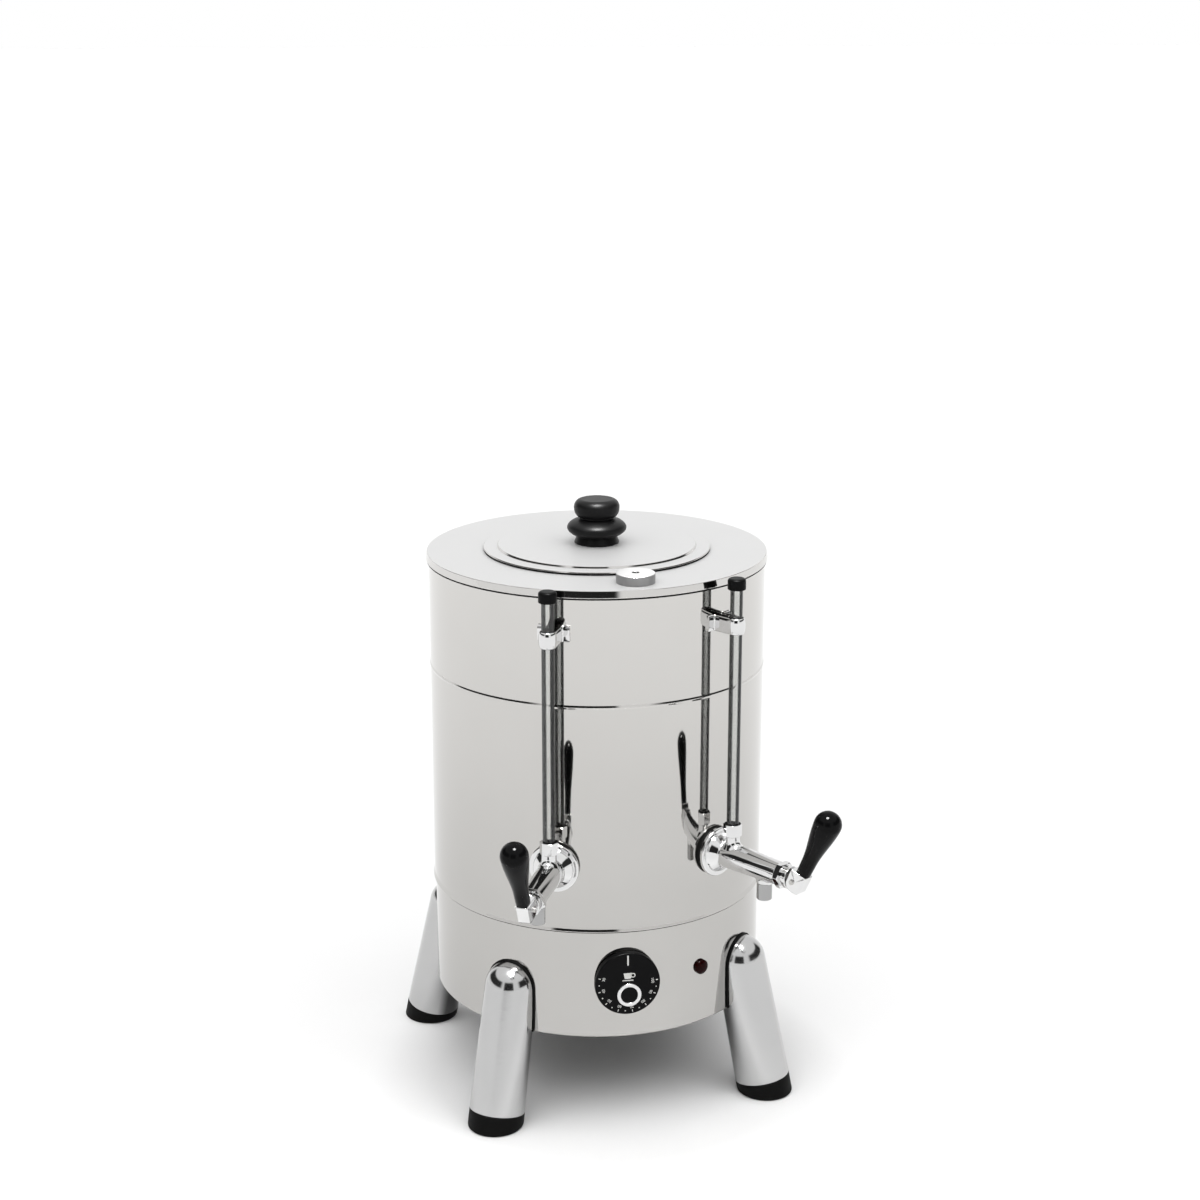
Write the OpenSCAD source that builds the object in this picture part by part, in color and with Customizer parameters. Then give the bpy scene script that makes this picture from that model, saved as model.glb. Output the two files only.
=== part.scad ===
// Two-tap coffee urn with a water jacket, a hanging coffee vessel and four splayed legs.
// Millimetres. The origin is on the tank's axis at floor level, +Z is up and the front faces -Y.

/* [Tank] */
// Outside diameter of the tank
body_d = 280; // [240:1:330]
// Height of the deck's top face above the floor
deck_z = 455; // [425:1:500]
// Thickness of the stainless sheet
sheet_t = 1; // [0.7:0.1:1.4]
// Height of the tank's lower edge, where it laps over the base
joint_z = 170; // [158:1:176]
// How far the tank laps over the base
lap_h = 6; // [4:0.5:9]
// Height of the rolled bead round the tank
bead_z = 360; // [320:1:400]
// Diameter of the rolled bead's section
bead_d = 2.6; // [2:0.1:4]
// Depth of the deck's turned-down rim
rim_h = 6; // [4:0.5:10]

/* [Coffee vessel] */
// Outside diameter of the coffee vessel
vessel_d = 172; // [150:1:180]
// Thickness of the vessel, basket and lid sheet
vessel_t = 0.8; // [0.5:0.1:1]
// Width of the vessel's hanging flange
vessel_flange_w = 4; // [3:0.5:5]
// Outside diameter of the pipe from the vessel to the right tap
pipe_d = 14; // [12:0.5:16]
// Depth of the filter basket below the deck
basket_depth = 95; // [60:1:130]
// Diameter of one filter hole
filter_hole_d = 4; // [3:0.5:5]

/* [Lid and filler] */
// Outside diameter of the lid
lid_d = 189; // [184:1:196]
// Width of the lid's outer brim
lid_brim_w = 12; // [8:0.5:16]
// Rise of the lid's middle above its brim
lid_step_h = 1.8; // [1:0.1:4]
// Diameter of the knob's lower flange
knob_flange_d = 49.4; // [42:0.2:56]
// Diameter of the knob's upper bulb
knob_bulb_d = 38; // [32:0.5:41]
// Height of the knob above the lid
knob_h = 37.2; // [34:0.2:42]
// Outside diameter of the water filler cap
filler_cap_d = 31; // [29:0.5:34]
// Height of the water filler cap
filler_cap_h = 8; // [7:0.5:12]
// How far the filler sits outwards of the middle of the deck's clear ring
filler_offset = 0.25; // [-1:0.25:1]

/* [Base and legs] */
// Height of the base's lower edge above the floor
skirt_z = 77; // [66:1:86]
// Diameter of a leg at its foot
leg_d = 46; // [40:0.5:50]
// Diameter of a leg at its domed top
leg_top_d = 42.5; // [36:0.5:44]
// Height of the centre of a leg's domed top
leg_dome_z = 114.5; // [110:0.5:120]
// Outward tilt of a leg
leg_tilt = 12.5; // [6:0.5:15]
// Height of a rubber foot at the middle of the leg
foot_h = 12; // [9:0.5:18]

/* [Controls] */
// Height of the dial and the pilot lamp
control_z = 126.5; // [122:0.5:132]
// Angle of the dial from the front
dial_az = -5; // [-10:0.5:0]
// Diameter of the thermostat dial
dial_d = 53.5; // [44:0.5:58]
// Thickness of the thermostat dial
dial_t = 6; // [5.5:0.1:8]
// Angle of the pilot lamp from the front
lamp_az = 23; // [21:0.5:25]
// Diameter of the pilot lamp's lens
lamp_d = 12.5; // [11.5:0.1:14]
// Height of the cable gland at the back
gland_z = 105; // [98:1:112]
// Bore of the cable gland
gland_bore_d = 8; // [6:0.5:9]

/* [Taps] */
// Angle of each tap from the front
tap_az = 28.75; // [26:0.25:31]
// Height of the tap's barrel axis
tap_z = 226; // [220:1:242]
// Diameter of the tap's wall flange
tap_flange_d = 41; // [36:0.5:44]
// Diameter of the tap's barrel at its outer end
barrel_d = 19; // [18:0.5:21]
// Length of the tap from the tank wall to the end of its barrel
barrel_reach = 71; // [67:1:89]
// Distance of the spout from the tank wall
spout_offset = 54; // [51:0.5:55]
// Outside diameter of the spout
spout_d = 12.5; // [11.5:0.1:14]
// Height of the spout's lower end above the floor
spout_z = 200; // [195:0.5:204]
// Bore of the spout
spout_bore_d = 8; // [6:0.5:8]
// Length of the grip on the lever
grip_l = 63; // [54:1:73]
// Greatest diameter of the grip
grip_d = 22; // [18:0.5:26]
// Diameter of the grip at its root
grip_root_d = 11.5; // [10.5:0.1:13]

/* [Sight glasses] */
// Outside diameter of the sight tube
tube_d = 10; // [9:0.2:11]
// Wall of the sight tube
tube_wall = 1.5; // [1:0.1:2]
// Distance of the sight tube from the tank wall
tube_offset = 18.5; // [17:0.5:24]
// Height of the sight tube's upper end above the deck
tube_rise = 1; // [-3:1:6]
// Height of the clip that holds the sight tube
clip_z = 420; // [395:1:435]

/* [Hidden] */
$fn = 96;
wall_fn = 360;

// Clearances
eps = 0.1;
slip = 0.1;
run_fit = 0.05;
touch = 0.02;
body_gap = 0.3;
knuckle = 0.4;
fuse = 1;
cut_reach = 4;

// Finishes
polished = [0.80, 0.79, 0.78];
satin = [0.72, 0.72, 0.72];
black = [0.05, 0.05, 0.05];
rubber = [0.08, 0.08, 0.08];

// How far a flat disc stands off a round wall at its edge
function sag(disc_d, wall_r) = wall_r - sqrt(wall_r * wall_r - disc_d * disc_d / 4);

// Tank
body_r = body_d / 2;
shell_in_r = body_r - sheet_t;
skirt_r = shell_in_r - slip;
skirt_in_r = skirt_r - sheet_t;
floor_z = joint_z + lap_h;
floor_upstand_h = 8;
deck_under_z = deck_z - sheet_t;
rim_r = body_r + body_gap + sheet_t;

// Coffee vessel, basket and lid
vessel_r = vessel_d / 2;
vessel_in_r = vessel_r - vessel_t;
vessel_flange_r = vessel_r + vessel_flange_w;
mouth_gap = 1;
mouth_r = vessel_r + mouth_gap;
pipe_wall = 2;
pipe_reach = 2;
pipe_floor_gap = 3;
vessel_floor_z = tap_z - pipe_d / 2 - pipe_floor_gap;
vessel_top_z = deck_z + vessel_t;
basket_gap = 2.5;
basket_r = vessel_in_r - basket_gap;
basket_top_z = vessel_top_z + vessel_t;
basket_floor_z = deck_z - basket_depth;
filter_pitch = 3.2 * filter_hole_d;
filter_row_gap = 19.7;
filter_rows = 3;
filter_side_holes = 20;
lid_r = lid_d / 2;
lid_step_r = lid_r - lid_brim_w;
lid_under_z = basket_top_z + body_gap;
lid_top_z = lid_under_z + vessel_t + lid_step_h;
knob_screw_d = 5;
knob_screw_l = 18;
knob_screw_head_h = 2.5;
knob_bore_h = 20;
knob_foot_d = 38;
knob_cone_d = 34;
knob_neck_d = 28;
knob_flange_z = 12.4;
knob_flange_edge = 3.9;
knob_bulb_edge = 6.2;

// Filler
filler_r = (lid_r + body_r) / 2 + filler_offset;
filler_bore_d = 20;
filler_wall = 1.5;
filler_lip_h = 4;
filler_lip_w = 1;
filler_lip_t = 1;
filler_headroom = 1;
filler_tail_h = 5;
vent_d = 5;

// Base
flange_w = 20;
plate_lap = 6;
plate_r = skirt_in_r - flange_w + plate_lap;
plate_screw_d = 4;
plate_screw_l = 7;
plate_screw_r = plate_r - plate_lap / 2;
plate_screw_head_d = 7.5;
plate_screw_head_h = 2.4;
plate_screw_slot = 1;
plate_vent_d = 8;
plate_vent_inset = 76.25;
plate_vents = 10;
leg_dome_r = skirt_r + slip;
leg_front_az = 45.5;
leg_back_az = 127.5;
leg_azimuths = [-leg_front_az, leg_front_az, -leg_back_az, leg_back_az];
leg_axis_l = (leg_dome_z - foot_h) / cos(leg_tilt);
leg_wall = 4.25;
leg_bore_d = leg_top_d - 2 * leg_wall;
leg_bore_h = 40;
spigot_h = 14;
bolt_d = 6;
bolt_head_d = 11.5;
bolt_head_h = 4;
bolt_l = 13;
bolt_rise = 16;
bolt_dome_rise = 3;
bolt_heights = [skirt_z + bolt_rise, leg_dome_z + bolt_dome_rise];

// Heating element
element_d = 8;
element_inset = 6;
element_ring_r = vessel_r - element_inset;
element_rise = 20;
element_z = floor_z + element_rise;
element_gap_angle = 30;
element_drop = 12;
element_tail_z = floor_z - element_drop;
element_pin_d = 3;
element_pin_h = 4;
element_nut_d = 16;
element_nut_h = 4;
element_end_x = element_ring_r * sin(element_gap_angle / 2);
element_end_y = element_ring_r * cos(element_gap_angle / 2);

// Thermostat and dial
thermostat_w = 40;
thermostat_h = 34;
thermostat_depth = 30;
bushing_d = 10;
bushing_l = 3;
panel_nut_d = 16;
panel_nut_h = 2.4;
shaft_d = 6;
thermostat_face_r = skirt_in_r - sag(thermostat_w, skirt_in_r) - touch;
panel_nut_r = skirt_r + touch;
bushing_end_r = skirt_r + bushing_l;
dial_gap = 0.5;
dial_back_r = skirt_r + dial_gap;
dial_face_r = dial_back_r + dial_t;
dial_face_t = 1;
dial_edge_r = 1;
dial_recess_gap = 0.4;
dial_recess_side = 2;
dial_recess_r = bushing_end_r + dial_recess_gap;
dial_recess_d = panel_nut_d + 2 * dial_recess_side;
shaft_end_r = dial_face_r - dial_face_t;

// Pilot lamp
lamp_lip_w = 1.25;
lamp_hole_d = lamp_d - 2 * lamp_lip_w;
lamp_body_l = 24;
lamp_rim_t = 1.6;
lamp_face_r = skirt_r + touch;
lamp_dome_h = 2.4;

// Gland and terminal block
gland_flange_d = 20;
gland_flange_t = 4;
gland_dome_d = 15;
gland_nose_d = 12;
gland_dome_l = 9;
gland_thread_d = 12;
gland_thread_l = 11;
gland_nut_d = 19;
gland_nut_h = 4;
gland_face_r = skirt_r + touch;
terminal_w = 36;
terminal_depth = 18;
terminal_h = 16;
terminal_y = 70;
terminal_well_d = 4;
terminal_well_h = 3;
wire_d = 2.6;
wire_lane = 8;
wire_low = 8;
wire_turn_y = 20;
wire_far_y = 40;
wire_step = 6;
wire_dip = 10;
wire_long_dip = 14;
wire_arch = 20;
wire_end = 1.6;

// Tap, measured outwards from the tank's axis
gasket_t = 2;
flange_t = 4;
flange_r = body_r + gasket_t;
neck_r = flange_r + flange_t;
neck_l = 7;
neck_flare = 6;
barrel_taper = 3;
barrel_root_d = barrel_d + barrel_taper;
tail_d = 14;
tail_l = 14;
tail_end_r = body_r - tail_l;
inlet_d = 9;
spout_r = body_r + spout_offset;
barrel_end_r = body_r + barrel_reach;
chamber_d = 13;
seat_gap = 7;
seat_r = spout_r - seat_gap;
locknut_d = 27;
locknut_h = 5;
locknut_r = shell_in_r - sag(locknut_d, shell_in_r) - touch;
sleeve_wall = 2;
sleeve_d = tail_d + 2 * sleeve_wall;
sleeve_l = 13;
spout_boss_step = 0.5;
spout_boss_d = spout_d + 2 * spout_boss_step;
spout_boss_drop = 12;
spout_boss_z = tap_z - spout_boss_drop;
spout_shoulder = 1.25;
spout_spigot_d = spout_d - 2 * spout_shoulder;
spout_spigot_gap = 1;

// Bonnet, stem and lever
bonnet_steps = [[20, 5], [16.5, 3], [18.5, 3.5]];
bonnet_l = bonnet_steps[0][1] + bonnet_steps[1][1] + bonnet_steps[2][1];
bonnet_spigot_l = 3;
bonnet_face_r = barrel_end_r + bonnet_l;
washer_t = 3;
washer_d = 11;
stem_d = 6;
stem_head_d = 10;
stem_head_t = 2.4;
collar_d = 12;
collar_t = 2;
collar_gap = 0.6;
collar_r = spout_r + spout_bore_d / 2 + collar_gap;
spring_wire_d = 1;
spring_d = 9.4;
spring_turns = 3;
spring_sides = 8;
spring_start_r = collar_r + collar_t;
spring_end_r = barrel_end_r - bonnet_spigot_l;
cam_r = 7;
cam_throw = 3;
lever_tilt = 26;
cam_angle = 60 - lever_tilt;
cam_gap = 0.25;
pivot_r = bonnet_face_r + cam_r - cam_throw / 2 + cam_gap;
lever_w = 16;
lever_root = 10;
lever_in = 5;
lever_out = 8.5;
tongue_w = 6;
tongue_h = 8;
tongue_end = 4.5;
lever_slot_w = tongue_w + 2 * body_gap;
lever_slot_top = 6;
lever_slot_out = tongue_end + body_gap;
pin_d = 4;
cam_w = cam_throw * cos(cam_angle);
cam_u = -cam_throw * sin(cam_angle);
tang_d = 6;
tang_l = 36;
grip_waist_l = 29.7;
grip_waist_d = grip_root_d + 3;
grip_blend = 0.6;

// Sight glass
tube_r = body_r + tube_offset;
tube_in_d = tube_d - 2 * tube_wall;
tube_boss_wall = 1.5;
tube_boss_d = tube_d + 2 * tube_boss_wall;
tube_boss_h = 18;
tube_boss_z = tap_z + tube_boss_h;
tube_socket_h = 6;
tube_nut_wall = 3;
tube_nut_d = tube_d + 2 * tube_nut_wall;
tube_nut_h = 10;
tube_top_z = deck_z + tube_rise;
cap_wall = 2.25;
cap_d = tube_d + 2 * cap_wall;
cap_h = 12;
cap_over = 4;
clip_h = 13;
clip_wall = 2.5;
clip_ring_d = tube_d + 2 * clip_wall;
clip_arm_t = 5;
clip_foot_w = 16;
clip_foot_t = 1.6;

// Turns the part to an angle from the front, with its -Y side facing outwards
module at(az) {
    rotate([0, 0, az]) children();
}

// Puts a part on a wall, with its +Z pointing outwards and its +Y up
module outward(r, z) {
    translate([0, -r, z]) rotate([90, 0, 0]) children();
}

module ring(r_out, r_in, h) {
    difference() {
        cylinder(r = r_out, h = h);
        translate([0, 0, -eps]) cylinder(r = r_in, h = h + 2 * eps);
    }
}

module hex_nut(d, bore, h) {
    difference() {
        cylinder(d = d, h = h, $fn = 6);
        translate([0, 0, -eps]) cylinder(d = bore, h = h + 2 * eps);
    }
}

// A straight rod between two points
module rod(a, b, d) {
    v = b - a;
    len_v = norm(v);
    translate(a)
        rotate([0, acos(v[2] / len_v), atan2(v[1], v[0])])
            cylinder(d = d, h = len_v);
}

// A bent wire through a list of points
module wire(points) {
    for (i = [0 : len(points) - 2])
        rod(points[i], points[i + 1], wire_d);
    for (i = [1 : len(points) - 2])
        translate(points[i]) sphere(d = wire_d + knuckle);
}

// Tank shell with its rolled bead and the two tap holes
module tank_shell() {
    color(polished)
        difference() {
            union() {
                translate([0, 0, joint_z]) ring(body_r, shell_in_r, deck_under_z - joint_z);
                translate([0, 0, bead_z])
                    rotate_extrude()
                        translate([body_r - bead_d / 4, 0]) circle(d = bead_d);
            }
            for (side = [-1, 1])
                at(side * tap_az)
                    outward(shell_in_r - 4 * sheet_t, tap_z)
                        cylinder(d = tail_d + 2 * slip, h = 8 * sheet_t);
        }
}

// Tank floor, an upturned dish standing on the base's top edge
module tank_floor() {
    color(satin)
        difference() {
            union() {
                translate([0, 0, floor_z]) cylinder(r = skirt_r, h = sheet_t);
                translate([0, 0, floor_z]) ring(skirt_r, skirt_in_r, floor_upstand_h);
            }
            for (side = [-1, 1])
                translate([side * element_end_x, element_end_y, floor_z - eps])
                    cylinder(d = element_d + 2 * slip, h = sheet_t + 2 * eps);
        }
}

// Deck with its turned-down rim, the vessel's mouth and the filler hole
module deck() {
    edge = 1.2;
    color(polished)
        difference() {
            rotate_extrude()
                difference() {
                    union() {
                        translate([mouth_r, deck_under_z])
                            square([rim_r - edge - mouth_r, sheet_t]);
                        translate([body_r + body_gap, deck_z - rim_h])
                            square([sheet_t, rim_h - edge]);
                        intersection() {
                            translate([rim_r - edge, deck_z - edge]) circle(r = edge);
                            translate([rim_r - edge, deck_z - edge]) square(edge);
                        }
                    }
                    translate([body_r - edge, deck_under_z - edge])
                        square([edge + body_gap, edge]);
                }
            translate([0, -filler_r, deck_under_z - eps])
                cylinder(d = filler_bore_d + 2 * filler_wall + 2 * slip, h = sheet_t + 2 * eps);
        }
}

// Filler collar, a tube with a lip that sits on the deck
module filler_collar() {
    color(satin)
        translate([0, -filler_r, 0])
            difference() {
                union() {
                    translate([0, 0, deck_under_z - filler_tail_h])
                        cylinder(d = filler_bore_d + 2 * filler_wall,
                                 h = filler_tail_h + sheet_t + filler_lip_h);
                    translate([0, 0, deck_z])
                        cylinder(d = filler_bore_d + 2 * filler_wall + 2 * filler_lip_w,
                                 h = filler_lip_t);
                }
                translate([0, 0, deck_under_z - filler_tail_h - eps])
                    cylinder(d = filler_bore_d, h = filler_tail_h + sheet_t + filler_lip_h + 2 * eps);
            }
}

// Coffee vessel, hanging in the deck by its flange
module coffee_vessel() {
    color(satin)
        difference() {
            union() {
                translate([0, 0, vessel_floor_z - vessel_t])
                    cylinder(r = vessel_r, h = vessel_top_z - vessel_floor_z + vessel_t);
                translate([0, 0, deck_z]) cylinder(r = vessel_flange_r, h = vessel_t);
            }
            translate([0, 0, vessel_floor_z])
                cylinder(r = vessel_in_r, h = vessel_top_z - vessel_floor_z + eps);
            at(tap_az)
                outward(vessel_in_r - cut_reach, tap_z)
                    cylinder(d = pipe_d + 2 * slip, h = 2 * cut_reach);
        }
}

// Pipe that carries coffee from the vessel to the right tap, with a sleeve over the tap's tail
module coffee_pipe() {
    start_r = vessel_in_r - pipe_reach;
    color(satin)
        at(tap_az)
            difference() {
                union() {
                    outward(start_r, tap_z)
                        cylinder(d = pipe_d, h = tail_end_r - slip - start_r);
                    outward(tail_end_r - sleeve_l / 2, tap_z) cylinder(d = sleeve_d, h = sleeve_l);
                }
                outward(start_r - eps, tap_z)
                    cylinder(d = pipe_d - 2 * pipe_wall, h = tail_end_r - start_r);
                outward(tail_end_r - slip, tap_z)
                    cylinder(d = tail_d + 2 * slip, h = sleeve_l);
            }
}

// Base skirt with an inward flange, and holes for the controls, the gland and the leg bolts
module base_skirt() {
    cut_l = 6 * sheet_t;
    cut_r = skirt_in_r - 2 * sheet_t;
    color(polished)
        difference() {
            union() {
                translate([0, 0, skirt_z]) ring(skirt_r, skirt_in_r, floor_z - skirt_z);
                translate([0, 0, skirt_z]) ring(skirt_r, skirt_in_r - flange_w, sheet_t);
            }
            at(dial_az)
                outward(cut_r, control_z) cylinder(d = bushing_d + 2 * slip, h = cut_l);
            at(lamp_az)
                outward(cut_r, control_z) cylinder(d = lamp_hole_d + 2 * slip, h = cut_l);
            at(180)
                outward(cut_r, gland_z) cylinder(d = gland_thread_d + 2 * slip, h = cut_l);
            for (az = leg_azimuths, z = bolt_heights)
                at(az)
                    outward(cut_r, z) cylinder(d = bolt_d + 2 * slip, h = cut_l);
            for (i = [0 : 3])
                at(90 * i)
                    translate([0, plate_screw_r, skirt_z - eps])
                        cylinder(d = plate_screw_d + 2 * slip, h = sheet_t + 2 * eps);
        }
}

// Bottom plate, screwed up against the base's flange, with vent holes
module bottom_plate() {
    color(satin)
        difference() {
            translate([0, 0, skirt_z - sheet_t]) cylinder(r = plate_r, h = sheet_t);
            for (i = [0 : 3])
                at(90 * i)
                    translate([0, plate_screw_r, skirt_z - sheet_t - eps])
                        cylinder(d = plate_screw_d + 2 * slip, h = sheet_t + 2 * eps);
            for (i = [1 : plate_vents])
                at(360 / plate_vents * (i - 0.5))
                    translate([0, plate_r - plate_vent_inset, skirt_z - sheet_t - eps])
                        cylinder(d = plate_vent_d, h = sheet_t + 2 * eps);
        }
}

// Screws that hold the bottom plate
module bottom_screws() {
    head_z = skirt_z - sheet_t - plate_screw_head_h;
    color(satin)
        for (i = [0 : 3])
            at(90 * i)
                translate([0, plate_screw_r, 0])
                    difference() {
                        union() {
                            translate([0, 0, head_z])
                                cylinder(d = plate_screw_head_d, h = plate_screw_head_h);
                            translate([0, 0, head_z])
                                cylinder(d = plate_screw_d, h = plate_screw_head_h + plate_screw_l);
                        }
                        translate([-plate_screw_head_d / 2, -plate_screw_slot / 2, head_z - eps])
                            cube([plate_screw_head_d, plate_screw_slot, plate_screw_slot + eps]);
                    }
}

// Ring heater under the vessel, with two tails through the floor
module heating_element() {
    color([0.35, 0.33, 0.32])
        union() {
            rotate([0, 0, 90 + element_gap_angle / 2])
                translate([0, 0, element_z])
                    rotate_extrude(angle = 360 - element_gap_angle)
                        translate([element_ring_r, 0]) circle(d = element_d);
            for (side = [-1, 1])
                translate([side * element_end_x, element_end_y, 0]) {
                    translate([0, 0, element_z]) sphere(d = element_d + knuckle);
                    translate([0, 0, element_tail_z])
                        cylinder(d = element_d, h = element_z - element_tail_z);
                    translate([0, 0, element_tail_z - element_pin_h])
                        cylinder(d = element_pin_d, h = element_pin_h + fuse);
                }
        }
}

// Nuts that clamp the heater's tails under the floor
module element_nuts() {
    color(satin)
        for (side = [-1, 1])
            translate([side * element_end_x, element_end_y, floor_z - element_nut_h - touch])
                hex_nut(element_nut_d, element_d + 2 * slip, element_nut_h);
}

// Thermostat body behind the dial, with its threaded bushing
module thermostat() {
    color(black)
        at(dial_az)
            outward(thermostat_face_r, control_z)
                difference() {
                    union() {
                        translate([-thermostat_w / 2, -thermostat_h / 2, -thermostat_depth])
                            cube([thermostat_w, thermostat_h, thermostat_depth]);
                        cylinder(d = bushing_d, h = bushing_end_r - thermostat_face_r);
                    }
                    translate([0, 0, -thermostat_depth / 2])
                        cylinder(d = shaft_d + 2 * run_fit, h = thermostat_depth);
                }
}

// Panel nut that clamps the thermostat's bushing to the base
module thermostat_nut() {
    color(satin)
        at(dial_az)
            outward(panel_nut_r, control_z)
                hex_nut(panel_nut_d, bushing_d + 2 * slip, panel_nut_h);
}

// Thermostat spindle that turns with the dial
module thermostat_shaft() {
    start_r = thermostat_face_r - thermostat_depth / 2 + touch;
    color(satin)
        at(dial_az)
            outward(start_r, control_z)
                cylinder(d = shaft_d, h = shaft_end_r - start_r);
}

// Dial, a flat disc with a rounded edge, hollow over the panel nut
module dial() {
    color(black)
        at(dial_az)
            outward(dial_back_r, control_z)
                difference() {
                    union() {
                        cylinder(d = dial_d, h = dial_t - dial_edge_r);
                        cylinder(d = dial_d - 2 * dial_edge_r, h = dial_t);
                        translate([0, 0, dial_t - dial_edge_r])
                            rotate_extrude()
                                translate([dial_d / 2 - dial_edge_r, 0]) circle(r = dial_edge_r);
                    }
                    translate([0, 0, -eps])
                        cylinder(d = dial_recess_d, h = dial_recess_r - dial_back_r + eps);
                    translate([0, 0, -eps])
                        cylinder(d = shaft_d + 2 * touch, h = shaft_end_r - dial_back_r + 2 * eps);
                }
}

// Pilot lamp's lens, a low dome with a rim
module pilot_lens() {
    dome_r = (lamp_d * lamp_d / 4 + lamp_dome_h * lamp_dome_h) / (2 * lamp_dome_h);
    color([0.30, 0.02, 0.02])
        at(lamp_az)
            outward(lamp_face_r, control_z) {
                cylinder(d = lamp_d, h = lamp_rim_t);
                intersection() {
                    translate([0, 0, lamp_rim_t + lamp_dome_h - dome_r]) sphere(r = dome_r);
                    translate([0, 0, lamp_rim_t - eps]) cylinder(d = lamp_d, h = lamp_dome_h + fuse);
                }
            }
}

// Pilot lamp's body inside the base
module pilot_body() {
    color([0.85, 0.84, 0.80])
        at(lamp_az)
            outward(lamp_face_r - touch - lamp_body_l, control_z)
                cylinder(d = lamp_hole_d, h = lamp_body_l);
}

// Terminal block on the bottom plate
module terminal_block() {
    color([0.85, 0.84, 0.80])
        translate([-terminal_w / 2, terminal_y - terminal_depth / 2, skirt_z])
            difference() {
                cube([terminal_w, terminal_depth, terminal_h]);
                for (i = [1 : 3])
                    translate([terminal_w * i / 4, terminal_depth / 2, terminal_h - terminal_well_h])
                        cylinder(d = terminal_well_d, h = terminal_well_h + eps);
            }
}

// Internal wires between the terminal block, thermostat, heater and lamp
module wiring() {
    front_y = terminal_y - terminal_depth / 2 - body_gap;
    low_z = skirt_z + wire_low;
    top_z = skirt_z + terminal_h + body_gap;
    well_x = terminal_w / 4 + terminal_well_d;
    back_r = thermostat_face_r - thermostat_depth - body_gap;
    back_x = back_r * sin(dial_az);
    back_y = wire_end - back_r * cos(dial_az);
    lamp_r = lamp_face_r - lamp_body_l - body_gap;
    lamp_x = lamp_r * sin(lamp_az);
    lamp_y = fuse - lamp_r * cos(lamp_az);
    pin_z = element_tail_z - element_pin_h - body_gap;
    color([0.75, 0.30, 0.10]) {
        wire([[-wire_lane, front_y, low_z], [-wire_lane, wire_turn_y, low_z],
              [back_x, -wire_turn_y, control_z - wire_step], [back_x, back_y, control_z - wire_step]]);
        wire([[back_x - wire_lane, back_y, control_z + wire_step],
              [back_x - wire_lane, -wire_far_y, control_z + wire_step],
              [-element_end_x, wire_far_y, pin_z - wire_dip],
              [-element_end_x, element_end_y, pin_z - wire_dip],
              [-element_end_x, element_end_y, pin_z]]);
        wire([[well_x, terminal_y, top_z], [well_x, terminal_y, top_z + wire_arch],
              [element_end_x, element_end_y, pin_z - wire_long_dip],
              [element_end_x, element_end_y, pin_z]]);
        wire([[lamp_x, lamp_y, control_z],
              [lamp_x - wire_dip, lamp_y + wire_turn_y + wire_dip, control_z - wire_step],
              [wire_lane, wire_turn_y, low_z], [wire_lane, front_y, low_z]]);
    }
}

// Cable gland at the back of the base
module cable_gland() {
    color(black)
        at(180)
            outward(gland_face_r - gland_thread_l, gland_z)
                difference() {
                    union() {
                        cylinder(d = gland_thread_d, h = gland_thread_l + fuse);
                        translate([0, 0, gland_thread_l])
                            cylinder(d = gland_flange_d, h = gland_flange_t, $fn = 6);
                        translate([0, 0, gland_thread_l + gland_flange_t])
                            cylinder(d1 = gland_dome_d, d2 = gland_nose_d, h = gland_dome_l);
                    }
                    translate([0, 0, -eps])
                        cylinder(d = gland_bore_d,
                                 h = gland_thread_l + gland_flange_t + gland_dome_l + 2 * eps);
                }
}

// Nut that clamps the gland inside the base
module gland_nut() {
    nut_r = skirt_in_r - sag(gland_nut_d, skirt_in_r) - touch - gland_nut_h;
    color(black)
        at(180)
            outward(nut_r, gland_z) hex_nut(gland_nut_d, gland_thread_d + 2 * slip, gland_nut_h);
}

// Puts a shape on a leg's tilted axis, with +Z pointing up the leg and 0 at the dome's centre
module on_leg(az) {
    at(az) translate([0, -leg_dome_r, leg_dome_z]) rotate([-leg_tilt, 0, 0]) children();
}

// Cast leg with a domed top, saddled onto the base and bored from below for its foot
module leg(az) {
    color(polished)
        difference() {
            on_leg(az)
                difference() {
                    union() {
                        sphere(d = leg_top_d);
                        translate([0, 0, -leg_axis_l])
                            cylinder(d1 = leg_d, d2 = leg_top_d, h = leg_axis_l);
                    }
                    translate([0, 0, -leg_axis_l - eps])
                        cylinder(d = leg_bore_d, h = leg_bore_h + eps);
                }
            translate([0, 0, skirt_z - slip])
                cylinder(r = skirt_r + slip, h = leg_dome_z + leg_d - skirt_z);
            for (z = bolt_heights)
                at(az)
                    outward(skirt_r, z) cylinder(d = bolt_d + 2 * slip, h = bolt_l + slip);
        }
}

// Rubber foot, plugged into the leg and flat on the floor
module foot(az) {
    color(rubber)
        difference() {
            on_leg(az) {
                translate([0, 0, -leg_axis_l - touch - leg_d]) cylinder(d = leg_d, h = leg_d);
                translate([0, 0, -leg_axis_l - leg_d / 2])
                    cylinder(d = leg_bore_d - 2 * slip, h = leg_d / 2 + spigot_h);
            }
            at(az)
                translate([-leg_d, -leg_dome_r - 3 * leg_d, -3 * leg_d])
                    cube([2 * leg_d, 5 * leg_d, 3 * leg_d]);
        }
}

// Bolts from inside the base into the legs
module leg_bolts() {
    head_r = skirt_in_r - sag(bolt_head_d, skirt_in_r) - touch;
    color(satin)
        for (az = leg_azimuths, z = bolt_heights)
            at(az)
                outward(head_r - bolt_head_h, z) {
                    cylinder(d = bolt_head_d, h = bolt_head_h, $fn = 6);
                    cylinder(d = bolt_d, h = skirt_r + bolt_l - head_r + bolt_head_h);
                }
}

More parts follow.
